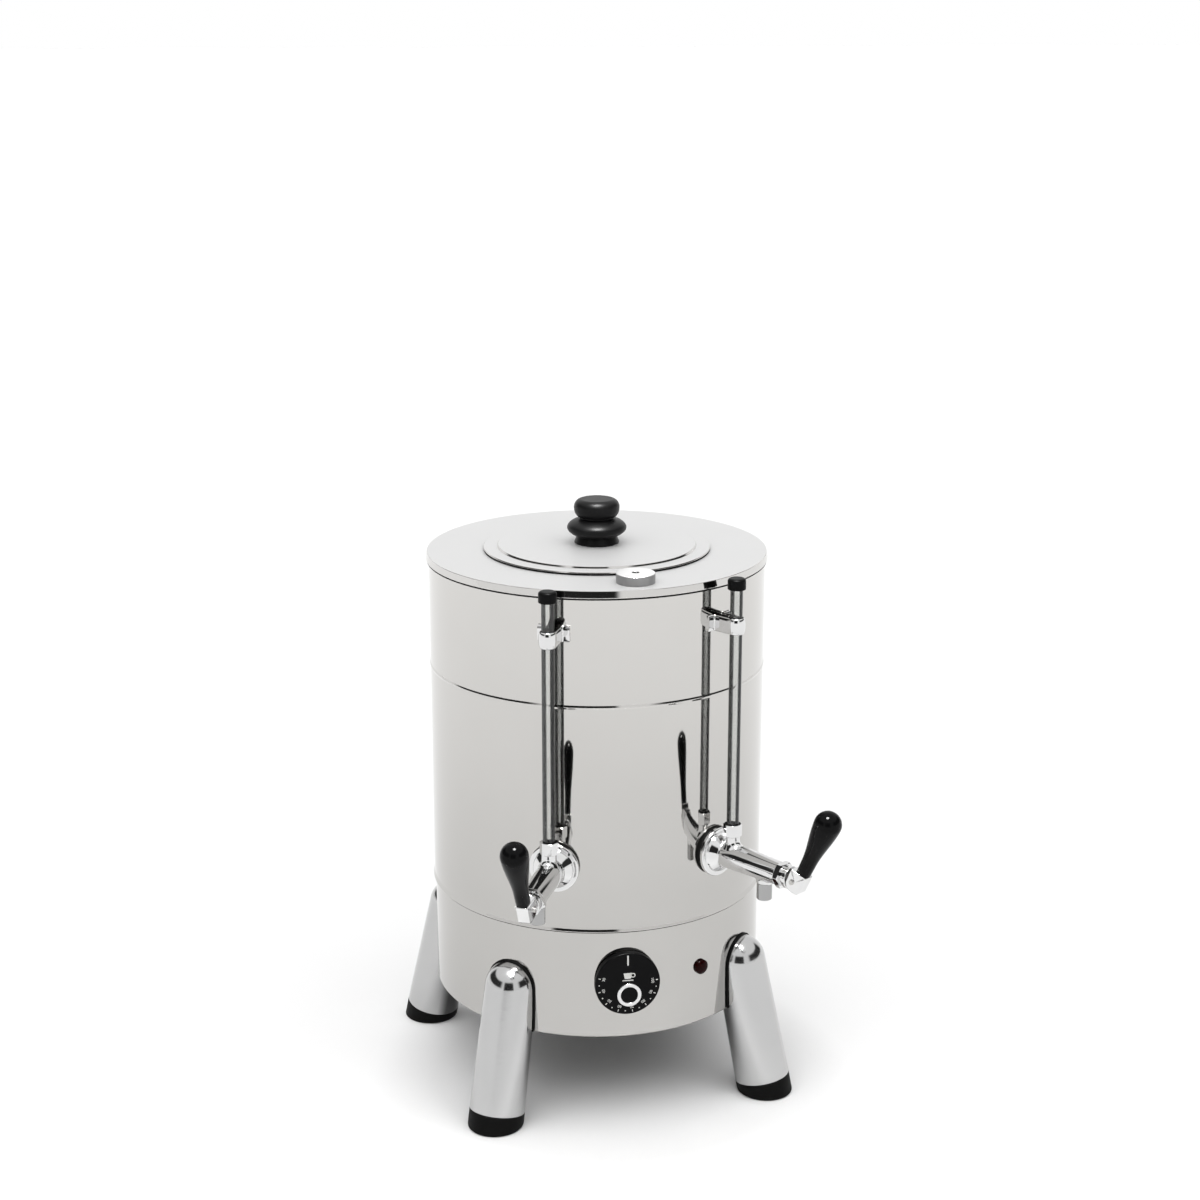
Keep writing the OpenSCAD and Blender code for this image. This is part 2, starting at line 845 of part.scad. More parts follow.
// Tap body: flange, neck, barrel, tail, sight glass boss and spout boss in one casting
module tap_body(az) {
    color(polished)
        at(az)
            difference() {
                union() {
                    outward(tail_end_r, tap_z) cylinder(d = tail_d, h = flange_r - tail_end_r + fuse);
                    outward(flange_r, tap_z) cylinder(d = tap_flange_d, h = flange_t);
                    outward(neck_r, tap_z)
                        cylinder(d1 = barrel_root_d + neck_flare, d2 = barrel_root_d, h = neck_l);
                    outward(neck_r, tap_z)
                        cylinder(d1 = barrel_root_d, d2 = barrel_d, h = barrel_end_r - neck_r);
                    translate([0, -tube_r, tap_z])
                        cylinder(d = tube_boss_d, h = tube_boss_z - tap_z);
                    translate([0, -spout_r, spout_boss_z])
                        cylinder(d = spout_boss_d, h = tap_z - spout_boss_z);
                }
                outward(tail_end_r - eps, tap_z)
                    cylinder(d = inlet_d, h = seat_r - tail_end_r + 2 * eps);
                outward(seat_r, tap_z) cylinder(d = chamber_d, h = barrel_end_r - seat_r + eps);
                translate([0, -tube_r, tap_z])
                    cylinder(d = tube_in_d, h = tube_boss_z - tap_z + eps);
                translate([0, -tube_r, tube_boss_z - tube_socket_h])
                    cylinder(d = tube_d + 2 * slip, h = tube_socket_h + eps);
                translate([0, -spout_r, spout_boss_z - eps])
                    cylinder(d = spout_spigot_d + 2 * slip, h = tap_z - spout_boss_z + eps);
            }
}

// Spout nozzle, pushed up into the tap's boss
module spout(az) {
    spigot_z = tap_z - chamber_d / 2 - spout_spigot_gap;
    color(polished)
        at(az)
            translate([0, -spout_r, spout_z])
                difference() {
                    union() {
                        cylinder(d = spout_d, h = spout_boss_z - touch - spout_z);
                        cylinder(d = spout_spigot_d, h = spigot_z - spout_z);
                    }
                    translate([0, 0, -eps])
                        cylinder(d = spout_bore_d, h = spigot_z - spout_z + 2 * eps);
                }
}

// Bonnet, stepped rings that close the barrel and guide the stem
module bonnet(az) {
    color(polished)
        at(az)
            outward(barrel_end_r + touch, tap_z)
                difference() {
                    union() {
                        cylinder(d = bonnet_steps[0][0], h = bonnet_steps[0][1]);
                        cylinder(d = bonnet_steps[1][0], h = bonnet_l - fuse);
                        translate([0, 0, bonnet_l - bonnet_steps[2][1]])
                            cylinder(d = bonnet_steps[2][0], h = bonnet_steps[2][1] - touch);
                        translate([0, 0, -bonnet_spigot_l])
                            cylinder(d = chamber_d - 2 * slip, h = bonnet_spigot_l + fuse);
                    }
                    translate([0, 0, -bonnet_spigot_l - eps])
                        cylinder(d = stem_d + 2 * run_fit, h = bonnet_l + bonnet_spigot_l + 2 * eps);
                }
}

// Saddle gaskets between the tap flanges and the round wall
module tap_gaskets() {
    color(rubber)
        for (side = [-1, 1])
            at(side * tap_az)
                difference() {
                    outward(body_r - 4 * gasket_t, tap_z)
                        cylinder(d = tap_flange_d - gasket_t / 2, h = 5 * gasket_t - touch);
                    translate([0, 0, tap_z - tap_flange_d])
                        cylinder(r = body_r + touch, h = 2 * tap_flange_d, $fn = wall_fn);
                    outward(body_r - 5 * gasket_t, tap_z)
                        cylinder(d = tail_d + 2 * slip, h = 7 * gasket_t);
                }
}

// Locknuts on the tap tails inside the tank
module tap_locknuts() {
    color(satin)
        for (side = [-1, 1])
            at(side * tap_az)
                outward(locknut_r - locknut_h, tap_z)
                    hex_nut(locknut_d, tail_d + 2 * slip, locknut_h);
}

// Stem: head, collar, rod and the flat tongue that carries the lever
module stem(az) {
    tongue_r = bonnet_face_r + body_gap;
    color(satin)
        at(az)
            difference() {
                union() {
                    outward(seat_r + washer_t, tap_z) cylinder(d = stem_head_d, h = stem_head_t);
                    outward(seat_r + washer_t, tap_z)
                        cylinder(d = stem_d, h = tongue_r + fuse - seat_r - washer_t);
                    outward(collar_r, tap_z) cylinder(d = collar_d, h = collar_t);
                    translate([-tongue_w / 2, -pivot_r, tap_z - tongue_h / 2])
                        cube([tongue_w, pivot_r - tongue_r, tongue_h]);
                    translate([-tongue_w / 2, -pivot_r, tap_z])
                        rotate([0, 90, 0]) cylinder(r = tongue_end, h = tongue_w);
                }
                translate([-tongue_w, -pivot_r, tap_z])
                    rotate([0, 90, 0]) cylinder(d = pin_d + 2 * run_fit, h = 2 * tongue_w);
            }
}

// Rubber washer that closes the valve seat
module seat_washer(az) {
    color(rubber)
        at(az)
            outward(seat_r + touch, tap_z) cylinder(d = washer_d, h = washer_t - 2 * touch);
}

// Points of a ring round the spring's wire at an angle along the helix
function spring_ring(turn, pitch) = [for (i = [0 : spring_sides - 1])
    let (a = 360 * i / spring_sides, r = spring_d / 2 + spring_wire_d / 2 * cos(a))
    [r * cos(turn), r * sin(turn), pitch * turn / 360 + spring_wire_d / 2 * sin(a)]];

// Return spring between the stem's collar and the bonnet
module return_spring(az) {
    rings_per_turn = 16;
    rings = spring_turns * rings_per_turn;
    free_l = spring_end_r - spring_start_r - spring_wire_d - 2 * run_fit;
    pitch = free_l / spring_turns;
    points = [for (k = [0 : rings]) each spring_ring(360 * k / rings_per_turn, pitch)];
    n = spring_sides;
    sides = [for (k = [0 : rings - 1], i = [0 : n - 1])
        let (j = (i + 1) % n)
        each [[k * n + i, (k + 1) * n + j, k * n + j],
              [k * n + i, (k + 1) * n + i, (k + 1) * n + j]]];
    first = [for (i = [1 : n - 2]) [0, i, i + 1]];
    last = [for (i = [1 : n - 2]) [rings * n, rings * n + i + 1, rings * n + i]];
    color(satin)
        at(az)
            outward(spring_start_r + spring_wire_d / 2 + run_fit, tap_z)
                polyhedron(points = points, faces = concat(sides, first, last));
}

// Hinge pin of the lever
module lever_pin(az) {
    color(satin)
        at(az)
            translate([-lever_w / 2, -pivot_r, tap_z])
                rotate([0, 90, 0]) cylinder(d = pin_d, h = lever_w);
}

// Lever block: an eccentric cam under a square head, slotted for the tongue, with a tang for the grip
module lever(az) {
    color(polished)
        at(az)
            translate([0, -pivot_r, tap_z])
                rotate([lever_tilt, 0, 0])
                    difference() {
                        union() {
                            translate([-lever_w / 2, 0, 0])
                                rotate([90, 0, 90])
                                    linear_extrude(lever_w)
                                        union() {
                                            translate([-cam_w, cam_u]) circle(r = cam_r);
                                            translate([-lever_out, 0])
                                                square([lever_in + lever_out, lever_root]);
                                        }
                            translate([0, -cam_w, lever_root - fuse])
                                cylinder(d = tang_d, h = tang_l + fuse);
                        }
                        translate([-lever_slot_w / 2, -lever_slot_out, lever_slot_top - 5 * cam_r])
                            cube([lever_slot_w, lever_slot_out + 3 * cam_r, 5 * cam_r]);
                        translate([-lever_w, 0, 0])
                            rotate([0, 90, 0]) cylinder(d = pin_d + 2 * touch, h = 2 * lever_w);
                    }
}

// Grip, a club-shaped handle pushed over the lever's tang
module grip(az) {
    bulb_z = grip_l - grip_d / 2;
    color(black)
        at(az)
            translate([0, -pivot_r, tap_z])
                rotate([lever_tilt, 0, 0])
                    translate([0, -cam_w, lever_root + touch])
                        difference() {
                            union() {
                                cylinder(d1 = grip_root_d, d2 = grip_waist_d, h = grip_waist_l);
                                translate([0, 0, grip_waist_l])
                                    cylinder(d1 = grip_waist_d, d2 = grip_d - grip_blend,
                                             h = bulb_z - grip_waist_l);
                                translate([0, 0, bulb_z]) sphere(d = grip_d);
                            }
                            translate([0, 0, -eps])
                                cylinder(d = tang_d + 2 * touch, h = tang_l + 2 * eps);
                        }
}

// Sight glass between the tap's boss and its cap
module sight_tube(az) {
    start_z = tube_boss_z - tube_socket_h + touch;
    color([0.85, 0.88, 0.88, 0.5])
        at(az)
            translate([0, -tube_r, start_z])
                ring(tube_d / 2, tube_in_d / 2, tube_top_z - start_z);
}

// Gland nuts at the foot of the sight glasses
module tube_nuts() {
    color(polished)
        for (side = [-1, 1])
            at(side * tap_az)
                translate([0, -tube_r, tube_boss_z + touch])
                    hex_nut(tube_nut_d, tube_d + 2 * slip, tube_nut_h);
}

// Caps on the sight glasses' upper ends
module tube_caps() {
    color(black)
        for (side = [-1, 1])
            at(side * tap_az)
                translate([0, -tube_r, tube_top_z + cap_over - cap_h])
                    difference() {
                        cylinder(d = cap_d, h = cap_h);
                        translate([0, 0, -eps])
                            cylinder(d = tube_d + 2 * slip, h = cap_h - cap_over + eps + slip);
                    }
}

// Clips welded to the wall that hold the sight glasses
module tube_clips() {
    color(polished)
        for (side = [-1, 1])
            at(side * tap_az)
                translate([0, 0, clip_z - clip_h / 2])
                    difference() {
                        union() {
                            translate([0, -tube_r, 0]) cylinder(d = clip_ring_d, h = clip_h);
                            translate([-clip_arm_t / 2, -tube_r, 0])
                                cube([clip_arm_t, tube_offset, clip_h]);
                            translate([-clip_foot_w / 2, -body_r - clip_foot_t, 0])
                                cube([clip_foot_w, 2 * clip_foot_t, clip_h]);
                        }
                        translate([0, 0, -eps])
                            cylinder(r = body_r + touch, h = clip_h + 2 * eps, $fn = wall_fn);
                        translate([0, -tube_r, -eps])
                            cylinder(d = tube_d + 2 * slip, h = clip_h + 2 * eps);
                    }
}

// Filter basket, perforated, hanging on the vessel's flange
module filter_basket() {
    color(satin)
        difference() {
            union() {
                translate([0, 0, basket_floor_z])
                    cylinder(r = basket_r, h = basket_top_z - basket_floor_z);
                translate([0, 0, vessel_top_z]) cylinder(r = vessel_flange_r, h = vessel_t);
            }
            translate([0, 0, basket_floor_z + vessel_t])
                cylinder(r = basket_r - vessel_t, h = basket_top_z - basket_floor_z);
            for (row = [1 : filter_rows], i = [0 : 6 * row - 1])
                at(60 * i / row)
                    translate([0, -row * filter_row_gap, basket_floor_z - eps])
                        cylinder(d = filter_hole_d, h = vessel_t + 2 * eps);
            for (row = [0, 1], i = [0 : filter_side_holes - 1])
                at(360 / filter_side_holes * (i + row / 2))
                    outward(basket_r - cut_reach, basket_floor_z + filter_pitch * (1 + row))
                        cylinder(d = filter_hole_d, h = 2 * cut_reach);
        }
}

// Lid with a turned-down edge, a flat brim and a raised middle
module lid() {
    color(polished)
        difference() {
            union() {
                translate([0, 0, deck_z])
                    ring(lid_r, lid_r - vessel_t, lid_under_z - deck_z + vessel_t);
                translate([0, 0, lid_under_z])
                    ring(lid_r, lid_step_r - vessel_t, vessel_t);
                translate([0, 0, lid_under_z])
                    ring(lid_step_r, lid_step_r - vessel_t, lid_step_h + vessel_t);
                translate([0, 0, lid_top_z - vessel_t]) cylinder(r = lid_step_r, h = vessel_t);
            }
            translate([0, 0, lid_under_z - eps])
                cylinder(d = knob_screw_d + 2 * slip, h = lid_step_h + vessel_t + 2 * eps);
        }
}

// Knob: a cone, a round-edged flange, a neck and a round bulb
module lid_knob() {
    bulb_z = knob_h - knob_bulb_edge;
    color(black)
        translate([0, 0, lid_top_z + touch])
            difference() {
                union() {
                    cylinder(d1 = knob_foot_d, d2 = knob_cone_d, h = knob_flange_z);
                    translate([0, 0, knob_flange_z - knob_flange_edge])
                        cylinder(d = knob_flange_d - 2 * knob_flange_edge, h = 2 * knob_flange_edge);
                    translate([0, 0, knob_flange_z])
                        rotate_extrude()
                            translate([knob_flange_d / 2 - knob_flange_edge, 0])
                                circle(r = knob_flange_edge);
                    translate([0, 0, knob_flange_z]) cylinder(d = knob_neck_d, h = bulb_z - knob_flange_z);
                    translate([0, 0, bulb_z - knob_bulb_edge])
                        cylinder(d = knob_bulb_d - 2 * knob_bulb_edge, h = 2 * knob_bulb_edge);
                    translate([0, 0, bulb_z])
                        rotate_extrude()
                            translate([knob_bulb_d / 2 - knob_bulb_edge, 0]) circle(r = knob_bulb_edge);
                }
                translate([0, 0, -eps])
                    cylinder(d = knob_screw_d + 2 * slip, h = knob_bore_h + eps);
            }
}

// Screw from under the lid into the knob
module knob_screw() {
    head_z = lid_top_z - vessel_t - touch - knob_screw_head_h;
    color(satin)
        translate([0, 0, head_z]) {
            cylinder(d = 2 * knob_screw_d, h = knob_screw_head_h);
            cylinder(d = knob_screw_d, h = knob_screw_head_h + vessel_t + knob_screw_l);
        }
}

// Filler cap with a vent hole and a rounded top edge
module filler_cap() {
    edge = 2;
    wall = 1.2;
    color(satin)
        translate([0, -filler_r, deck_z])
            difference() {
                union() {
                    cylinder(d = filler_cap_d, h = filler_cap_h - edge);
                    cylinder(d = filler_cap_d - 2 * edge, h = filler_cap_h);
                    translate([0, 0, filler_cap_h - edge])
                        rotate_extrude()
                            translate([filler_cap_d / 2 - edge, 0]) circle(r = edge);
                }
                translate([0, 0, -eps])
                    cylinder(d = filler_cap_d - 2 * wall, h = filler_lip_h + filler_headroom + eps);
                cylinder(d = vent_d, h = filler_cap_h + eps);
            }
}

tank_shell();
tank_floor();
deck();
filler_collar();
coffee_vessel();
coffee_pipe();
base_skirt();
bottom_plate();
bottom_screws();
heating_element();
element_nuts();
thermostat();
thermostat_nut();
thermostat_shaft();
dial();
pilot_lens();
pilot_body();
terminal_block();
wiring();
cable_gland();
gland_nut();
leg(-leg_front_az);  // leg_front_left
leg(leg_front_az);  // leg_front_right
leg(-leg_back_az);  // leg_back_left
leg(leg_back_az);  // leg_back_right
foot(-leg_front_az);  // foot_front_left
foot(leg_front_az);  // foot_front_right
foot(-leg_back_az);  // foot_back_left
foot(leg_back_az);  // foot_back_right
leg_bolts();
tap_body(-tap_az);  // left_tap_body
tap_body(tap_az);  // right_tap_body
spout(-tap_az);  // left_spout
spout(tap_az);  // right_spout
bonnet(-tap_az);  // left_bonnet
bonnet(tap_az);  // right_bonnet
tap_gaskets();
tap_locknuts();
stem(-tap_az);  // left_stem
stem(tap_az);  // right_stem
seat_washer(-tap_az);  // left_seat_washer
seat_washer(tap_az);  // right_seat_washer
return_spring(-tap_az);  // left_return_spring
return_spring(tap_az);  // right_return_spring
lever_pin(-tap_az);  // left_lever_pin
lever_pin(tap_az);  // right_lever_pin
lever(-tap_az);  // left_lever
lever(tap_az);  // right_lever
grip(-tap_az);  // left_grip
grip(tap_az);  // right_grip
sight_tube(-tap_az);  // left_sight_tube
sight_tube(tap_az);  // right_sight_tube
tube_nuts();
tube_caps();
tube_clips();
filter_basket();
lid();
lid_knob();
knob_screw();
filler_cap();
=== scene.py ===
import math

import bmesh
import bpy
import numpy as np
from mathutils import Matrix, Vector


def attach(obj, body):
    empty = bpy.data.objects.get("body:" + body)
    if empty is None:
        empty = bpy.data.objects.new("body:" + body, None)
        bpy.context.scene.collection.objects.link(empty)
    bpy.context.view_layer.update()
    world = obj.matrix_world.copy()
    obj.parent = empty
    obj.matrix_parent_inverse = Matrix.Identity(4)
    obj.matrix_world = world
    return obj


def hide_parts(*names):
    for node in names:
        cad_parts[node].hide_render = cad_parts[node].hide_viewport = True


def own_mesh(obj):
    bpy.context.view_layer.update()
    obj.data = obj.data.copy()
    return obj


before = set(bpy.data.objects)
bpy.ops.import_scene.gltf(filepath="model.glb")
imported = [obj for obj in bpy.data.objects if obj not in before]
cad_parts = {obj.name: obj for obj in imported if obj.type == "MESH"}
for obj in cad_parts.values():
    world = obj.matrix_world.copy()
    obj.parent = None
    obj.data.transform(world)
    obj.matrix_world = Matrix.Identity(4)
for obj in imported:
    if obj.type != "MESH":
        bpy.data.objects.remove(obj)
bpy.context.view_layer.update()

# Tank shell: mirror-polished stainless sheet, rolled into a drum and swaged with one bead.
# Its lower edge laps over the base, and the deck's rim closes it above.
# All sizes in this file are millimetres; a mesh is put down in metres.
MM = 0.001
WALL_R, SHEET_T = 140.0, 1.0
SHELL_FOOT_Z, SHELL_TOP_Z = 170.0, 454.0
BEAD_Z, BEAD_RISE, BEAD_HALF = 360.0, 0.65, 1.7
LAP_FLARE, LAP_MID = 0.95, 0.43
LAP_EDGE_Z, LAP_MID_Z, LAP_TOP_Z = SHELL_FOOT_Z + 0.8, SHELL_FOOT_Z + 2.7, SHELL_FOOT_Z + 4.8


def unit(v):
    """Vectors divided by their lengths."""
    return v / np.maximum(np.linalg.norm(v, axis=-1, keepdims=True), 1e-12)


def line(corners, closed=False, arc_steps=8, hold=0.4):
    """Outline through corners (across, up, radius). A corner becomes an arc that touches both its
    sides and turns evenly about its centre; two points near the ends of each straight side keep
    that side's shading flat."""
    c = np.array(corners, float)
    p, radius = c[:, :2], c[:, 2:]
    back, ahead = unit(np.roll(p, 1, 0) - p), unit(np.roll(p, -1, 0) - p)
    cosine = np.clip((back * ahead).sum(1, keepdims=True), -0.99999, 0.99999)
    half = np.arccos(cosine) / 2
    middle = p + unit(back + ahead) * radius / np.sin(half)
    reach = radius / np.tan(half)
    start, end = p + back * reach - middle, p + ahead * reach - middle
    sweep = (np.pi - 2 * half)[:, None]
    t = np.linspace(0, 1, arc_steps + 1)[None, :, None]
    arc = np.sin((1 - t) * sweep) * start[:, None] + np.sin(t * sweep) * end[:, None]
    arc = arc / np.sin(sweep) + middle[:, None]
    side = np.roll(arc[:, 0], -1, 0) - arc[:, -1]
    length = np.linalg.norm(side, axis=1, keepdims=True)
    near = side * np.minimum(0.45, hold / np.maximum(length, 1e-9))
    ends = np.stack([arc[:, -1] + near, arc[:, -1] + side - near], 1)
    full = np.concatenate([arc, ends], 1).reshape(-1, 2)
    full = full if closed else full[:-2]
    step = np.linalg.norm(np.diff(full, axis=0), axis=1)
    return full[np.r_[True, step > 1e-6]]


def turned(outline, steps=128):
    """Carries an outline (radius, height) round the Z axis: x = r sin a, y = -r cos a, z = height."""
    a = np.linspace(0, 2 * np.pi, steps, endpoint=False)[:, None]
    r, z = outline.T
    return np.stack([r * np.sin(a), -r * np.cos(a), np.broadcast_to(z, (steps, len(z)))], -1)


def skin(points, round_rows=True, round_cols=False):
    """Four-sided faces over a grid of points, joined end to end where rows or columns go round."""
    rows, cols = points.shape[:2]
    i = np.arange(rows - (not round_rows))[:, None]
    j = np.arange(cols - (not round_cols))[None, :]
    i2, j2 = (i + 1) % rows, (j + 1) % cols
    corners = (i * cols + j, i2 * cols + j, i2 * cols + j2, i * cols + j2)
    return points.reshape(-1, 3), np.stack(corners, -1).reshape(-1, 4)


def mesh_of(name, skins, crease=40):
    """One mesh from several skins, with doubled points at seams and poles merged."""
    counts = np.cumsum([0] + [len(p) for p, _ in skins])
    points = np.concatenate([p for p, _ in skins]) * MM
    faces = np.concatenate([f + n for (_, f), n in zip(skins, counts)])
    mesh = bpy.data.meshes.new(name)
    mesh.from_pydata(points, [], faces)
    work = bmesh.new()
    work.from_mesh(mesh)
    bmesh.ops.remove_doubles(work, verts=work.verts, dist=1e-7)
    bmesh.ops.dissolve_degenerate(work, edges=work.edges, dist=1e-8)
    work.to_mesh(mesh)
    work.free()
    mesh.shade_smooth()
    mesh.set_sharp_from_angle(angle=math.radians(crease))
    return mesh


def piece(name, body, skins, look, stands_for=(), crease=40):
    """A named piece made of skins, with its finish, that rides on a body and stands for CAD nodes."""
    made = bpy.data.objects.new(name, mesh_of(name, skins, crease))
    bpy.context.scene.collection.objects.link(made)
    made.data.materials.append(look)
    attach(made, body)
    if stands_for:
        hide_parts(*stands_for)
    return made


def add(tree, kind, inputs=None, **settings):
    """A shader node with its settings; an input given an output socket is linked, others are set."""
    made = tree.nodes.new("ShaderNode" + kind)
    for key, value in settings.items():
        setattr(made, key, value)
    for key, value in (inputs or {}).items():
        if isinstance(value, bpy.types.NodeSocket):
            tree.links.new(value, made.inputs[key])
        else:
            made.inputs[key].default_value = value
    return made


def mixed(tree, share, first, second):
    """Colour that goes from first to second as share goes from 0 to 1."""
    return add(tree, "Mix", {0: share, 6: first, 7: second}, data_type="RGBA").outputs[2]


def ranged(tree, value, low, high, start=0.3, stop=0.7):
    """Value stretched from start..stop to low..high."""
    return add(tree, "MapRange", {"Value": value, "From Min": start, "From Max": stop,
                                  "To Min": low, "To Max": high}).outputs["Result"]


def finish(name, **sockets):
    """A material whose even values are set on its Principled shader's own sockets."""
    look = bpy.data.materials.new(name)
    look.use_nodes = True
    shader = look.node_tree.nodes["Principled BSDF"]
    for key, value in sockets.items():
        shader.inputs[key.replace("_", " ")].default_value = value
    return look, look.node_tree, shader


def effect(name, inputs, outputs):
    """An empty shader node group with named number inputs and outputs."""
    group = bpy.data.node_groups.new(name, "ShaderNodeTree")
    for key in inputs:
        group.interface.new_socket(key, in_out="INPUT", socket_type="NodeSocketFloat")
    for key in outputs:
        group.interface.new_socket(key, in_out="OUTPUT", socket_type="NodeSocketFloat")
    return group, group.nodes.new("NodeGroupInput"), group.nodes.new("NodeGroupOutput")


# Marks that buffing leaves on metal: broad clouds of shine, and hair lines round the piece.
metal_polish, given, result = effect("metal_polish", ("Cloud scale", "Line scale"), ("Cloud", "Lines"))
place = add(metal_polish, "TexCoord").outputs["Object"]
cloud = add(metal_polish, "TexNoise", {"Vector": place, "Scale": given.outputs["Cloud scale"],
                                       "Detail": 4.0, "Roughness": 0.55})
drawn = add(metal_polish, "Mapping", {"Vector": place, "Scale": (0.05, 0.05, 1.0)})
hair = add(metal_polish, "TexNoise", {"Vector": drawn.outputs[0], "Scale": given.outputs["Line scale"],
                                      "Detail": 3.0, "Roughness": 0.7})
metal_polish.links.new(cloud.outputs["Fac"], result.inputs["Cloud"])
metal_polish.links.new(hair.outputs["Fac"], result.inputs["Lines"])


def calc(tree, operation, first, second, **settings):
    """Result of one sum on two numbers."""
    return add(tree, "Math", {0: first, 1: second}, operation=operation, **settings).outputs[0]


def ridged(tree, shader, height, strength, depth=0.0001):
    """Bumps a shader's normal by a height mask, to a depth in metres."""
    bump = add(tree, "Bump", {"Height": height, "Strength": strength, "Distance": depth})
    tree.links.new(bump.outputs[0], shader.inputs["Normal"])


def polish_marks(tree, clouds, lines):
    """Buffing marks at a finish's own scales: the clouds and the hair lines, as masks."""
    marks = add(tree, "Group", {"Cloud scale": clouds, "Line scale": lines}, node_tree=metal_polish)
    return marks.outputs["Cloud"], marks.outputs["Lines"]


def metal(name, dark, light, rough, clouds, lines, bump):
    """Bare metal: its tone and roughness follow the buffing clouds, and its hair lines are a bump."""
    look, tree, shader = finish(name, Metallic=1.0)
    clouded, scored = polish_marks(tree, clouds, lines)
    tree.links.new(mixed(tree, clouded, (*dark, 1), (*light, 1)), shader.inputs["Base Color"])
    worn = calc(tree, "MULTIPLY", clouded, scored)
    tree.links.new(ranged(tree, worn, *rough, 0.1, 0.4), shader.inputs["Roughness"])
    ridged(tree, shader, scored, bump)
    return look


def base_of(look):
    """A finish's node tree, its shader, and the colour that reaches the shader's base so far."""
    tree = look.node_tree
    shader = tree.nodes["Principled BSDF"]
    return tree, shader, shader.inputs["Base Color"].links[0].from_socket


# The drum's colour is scaled by height, darker towards the bottom and lighter towards the top: painted
# shade for the near, shadowed floor that the lower wall reflects, and painted light for the far floor.
DRUM_PAINTED_SHADE, DRUM_SHADE_RANGE = (0.84, 1.12), (0.08, 0.45)
mirror_steel = metal("mirror_steel", (0.53, 0.52, 0.503), (0.58, 0.57, 0.553), (0.03, 0.07),
                     9.0, 1400.0, 0.02)
tree, shader, buffed = base_of(mirror_steel)
up = add(tree, "SeparateXYZ", {0: add(tree, "TexCoord").outputs["Object"]}).outputs["Z"]
tone = ranged(tree, up, *DRUM_PAINTED_SHADE, *DRUM_SHADE_RANGE)
shaded_drum_tone = add(tree, "VectorMath", {0: buffed, "Scale": tone}, operation="SCALE")
tree.links.new(shaded_drum_tone.outputs[0], shader.inputs["Base Color"])
shell_line = line([(WALL_R - SHEET_T, SHELL_FOOT_Z, 0.3), (WALL_R + LAP_FLARE, SHELL_FOOT_Z, 0.5),
                   (WALL_R + LAP_FLARE, LAP_EDGE_Z, 0.2), (WALL_R + LAP_MID, LAP_MID_Z, 0.6),
                   (WALL_R, LAP_TOP_Z, 0.6), (WALL_R, BEAD_Z - BEAD_HALF, 1.0),
                   (WALL_R + BEAD_RISE, BEAD_Z, 1.0), (WALL_R, BEAD_Z + BEAD_HALF, 1.0),
                   (WALL_R, SHELL_TOP_Z, 0.2), (WALL_R - SHEET_T, SHELL_TOP_Z, 0.2)], closed=True)
piece("shell_drum", "urn", [skin(turned(shell_line, 256), True, True)], mirror_steel,
      ["tank_shell"])

# Base skirt: a second ring of the same sheet inside the shell's lap, with its lower edge turned
# inwards for the bottom plate. The legs, the dial, the lamp and the cable gland sit on it.
SKIRT_R, SKIRT_Z, SKIRT_TOP_Z = 138.9, 77.0, 176.0
FLANGE_IN_R = SKIRT_R - SHEET_T - 20.0
skirt_line = line([(FLANGE_IN_R, SKIRT_Z, 0.3), (SKIRT_R, SKIRT_Z, 1.4), (SKIRT_R, SKIRT_TOP_Z, 0.2),
                   (SKIRT_R - SHEET_T, SKIRT_TOP_Z, 0.2), (SKIRT_R - SHEET_T, SKIRT_Z + SHEET_T, 0.4),
                   (FLANGE_IN_R, SKIRT_Z + SHEET_T, 0.3)], closed=True)
piece("skirt_ring", "urn", [skin(turned(skirt_line, 256), True, True)], mirror_steel,
      ["base_skirt"])

# Deck: a flat stainless ring pressed with a turned-down rim that caps the shell. The coffee
# vessel hangs in its mouth, and the filler's collar stands in a hole near the front.
DECK_Z, RIM_DROP, RIM_GAP, RIM_LEAN, MOUTH_R = 455.0, 6.0, 0.3, 1.05, 87.0
RIM_R = WALL_R + RIM_GAP + SHEET_T
FILLER_Y, COLLAR_R, COLLAR_GAP = -117.5, 11.5, 0.1


def carved(made, *tools):
    """Takes closed tool meshes out of a piece and keeps what is left as the piece's own mesh."""
    for number, tool in enumerate(tools):
        helper = bpy.data.objects.new(f"{made.name}_tool_{number}", tool)
        bpy.context.scene.collection.objects.link(helper)
        made.modifiers.new(helper.name, "BOOLEAN").object = helper
    whole = made.evaluated_get(bpy.context.evaluated_depsgraph_get())
    left = bpy.data.meshes.new_from_object(whole)
    for modifier in list(made.modifiers):
        bpy.data.objects.remove(modifier.object)
        made.modifiers.remove(modifier)
    made.data = left
    left.set_sharp_from_angle(angle=math.radians(30))


def rod(radius, low, high, steps=96):
    """Outline of a plain round rod between two heights."""
    return turned(line([(0, low, 0), (radius, low, 0), (radius, high, 0), (0, high, 0)]), steps)


def upright(tree):
    """How far a surface faces up: the Z of its normal."""
    return add(tree, "SeparateXYZ", {0: add(tree, "NewGeometry").outputs["Normal"]}).outputs["Z"]
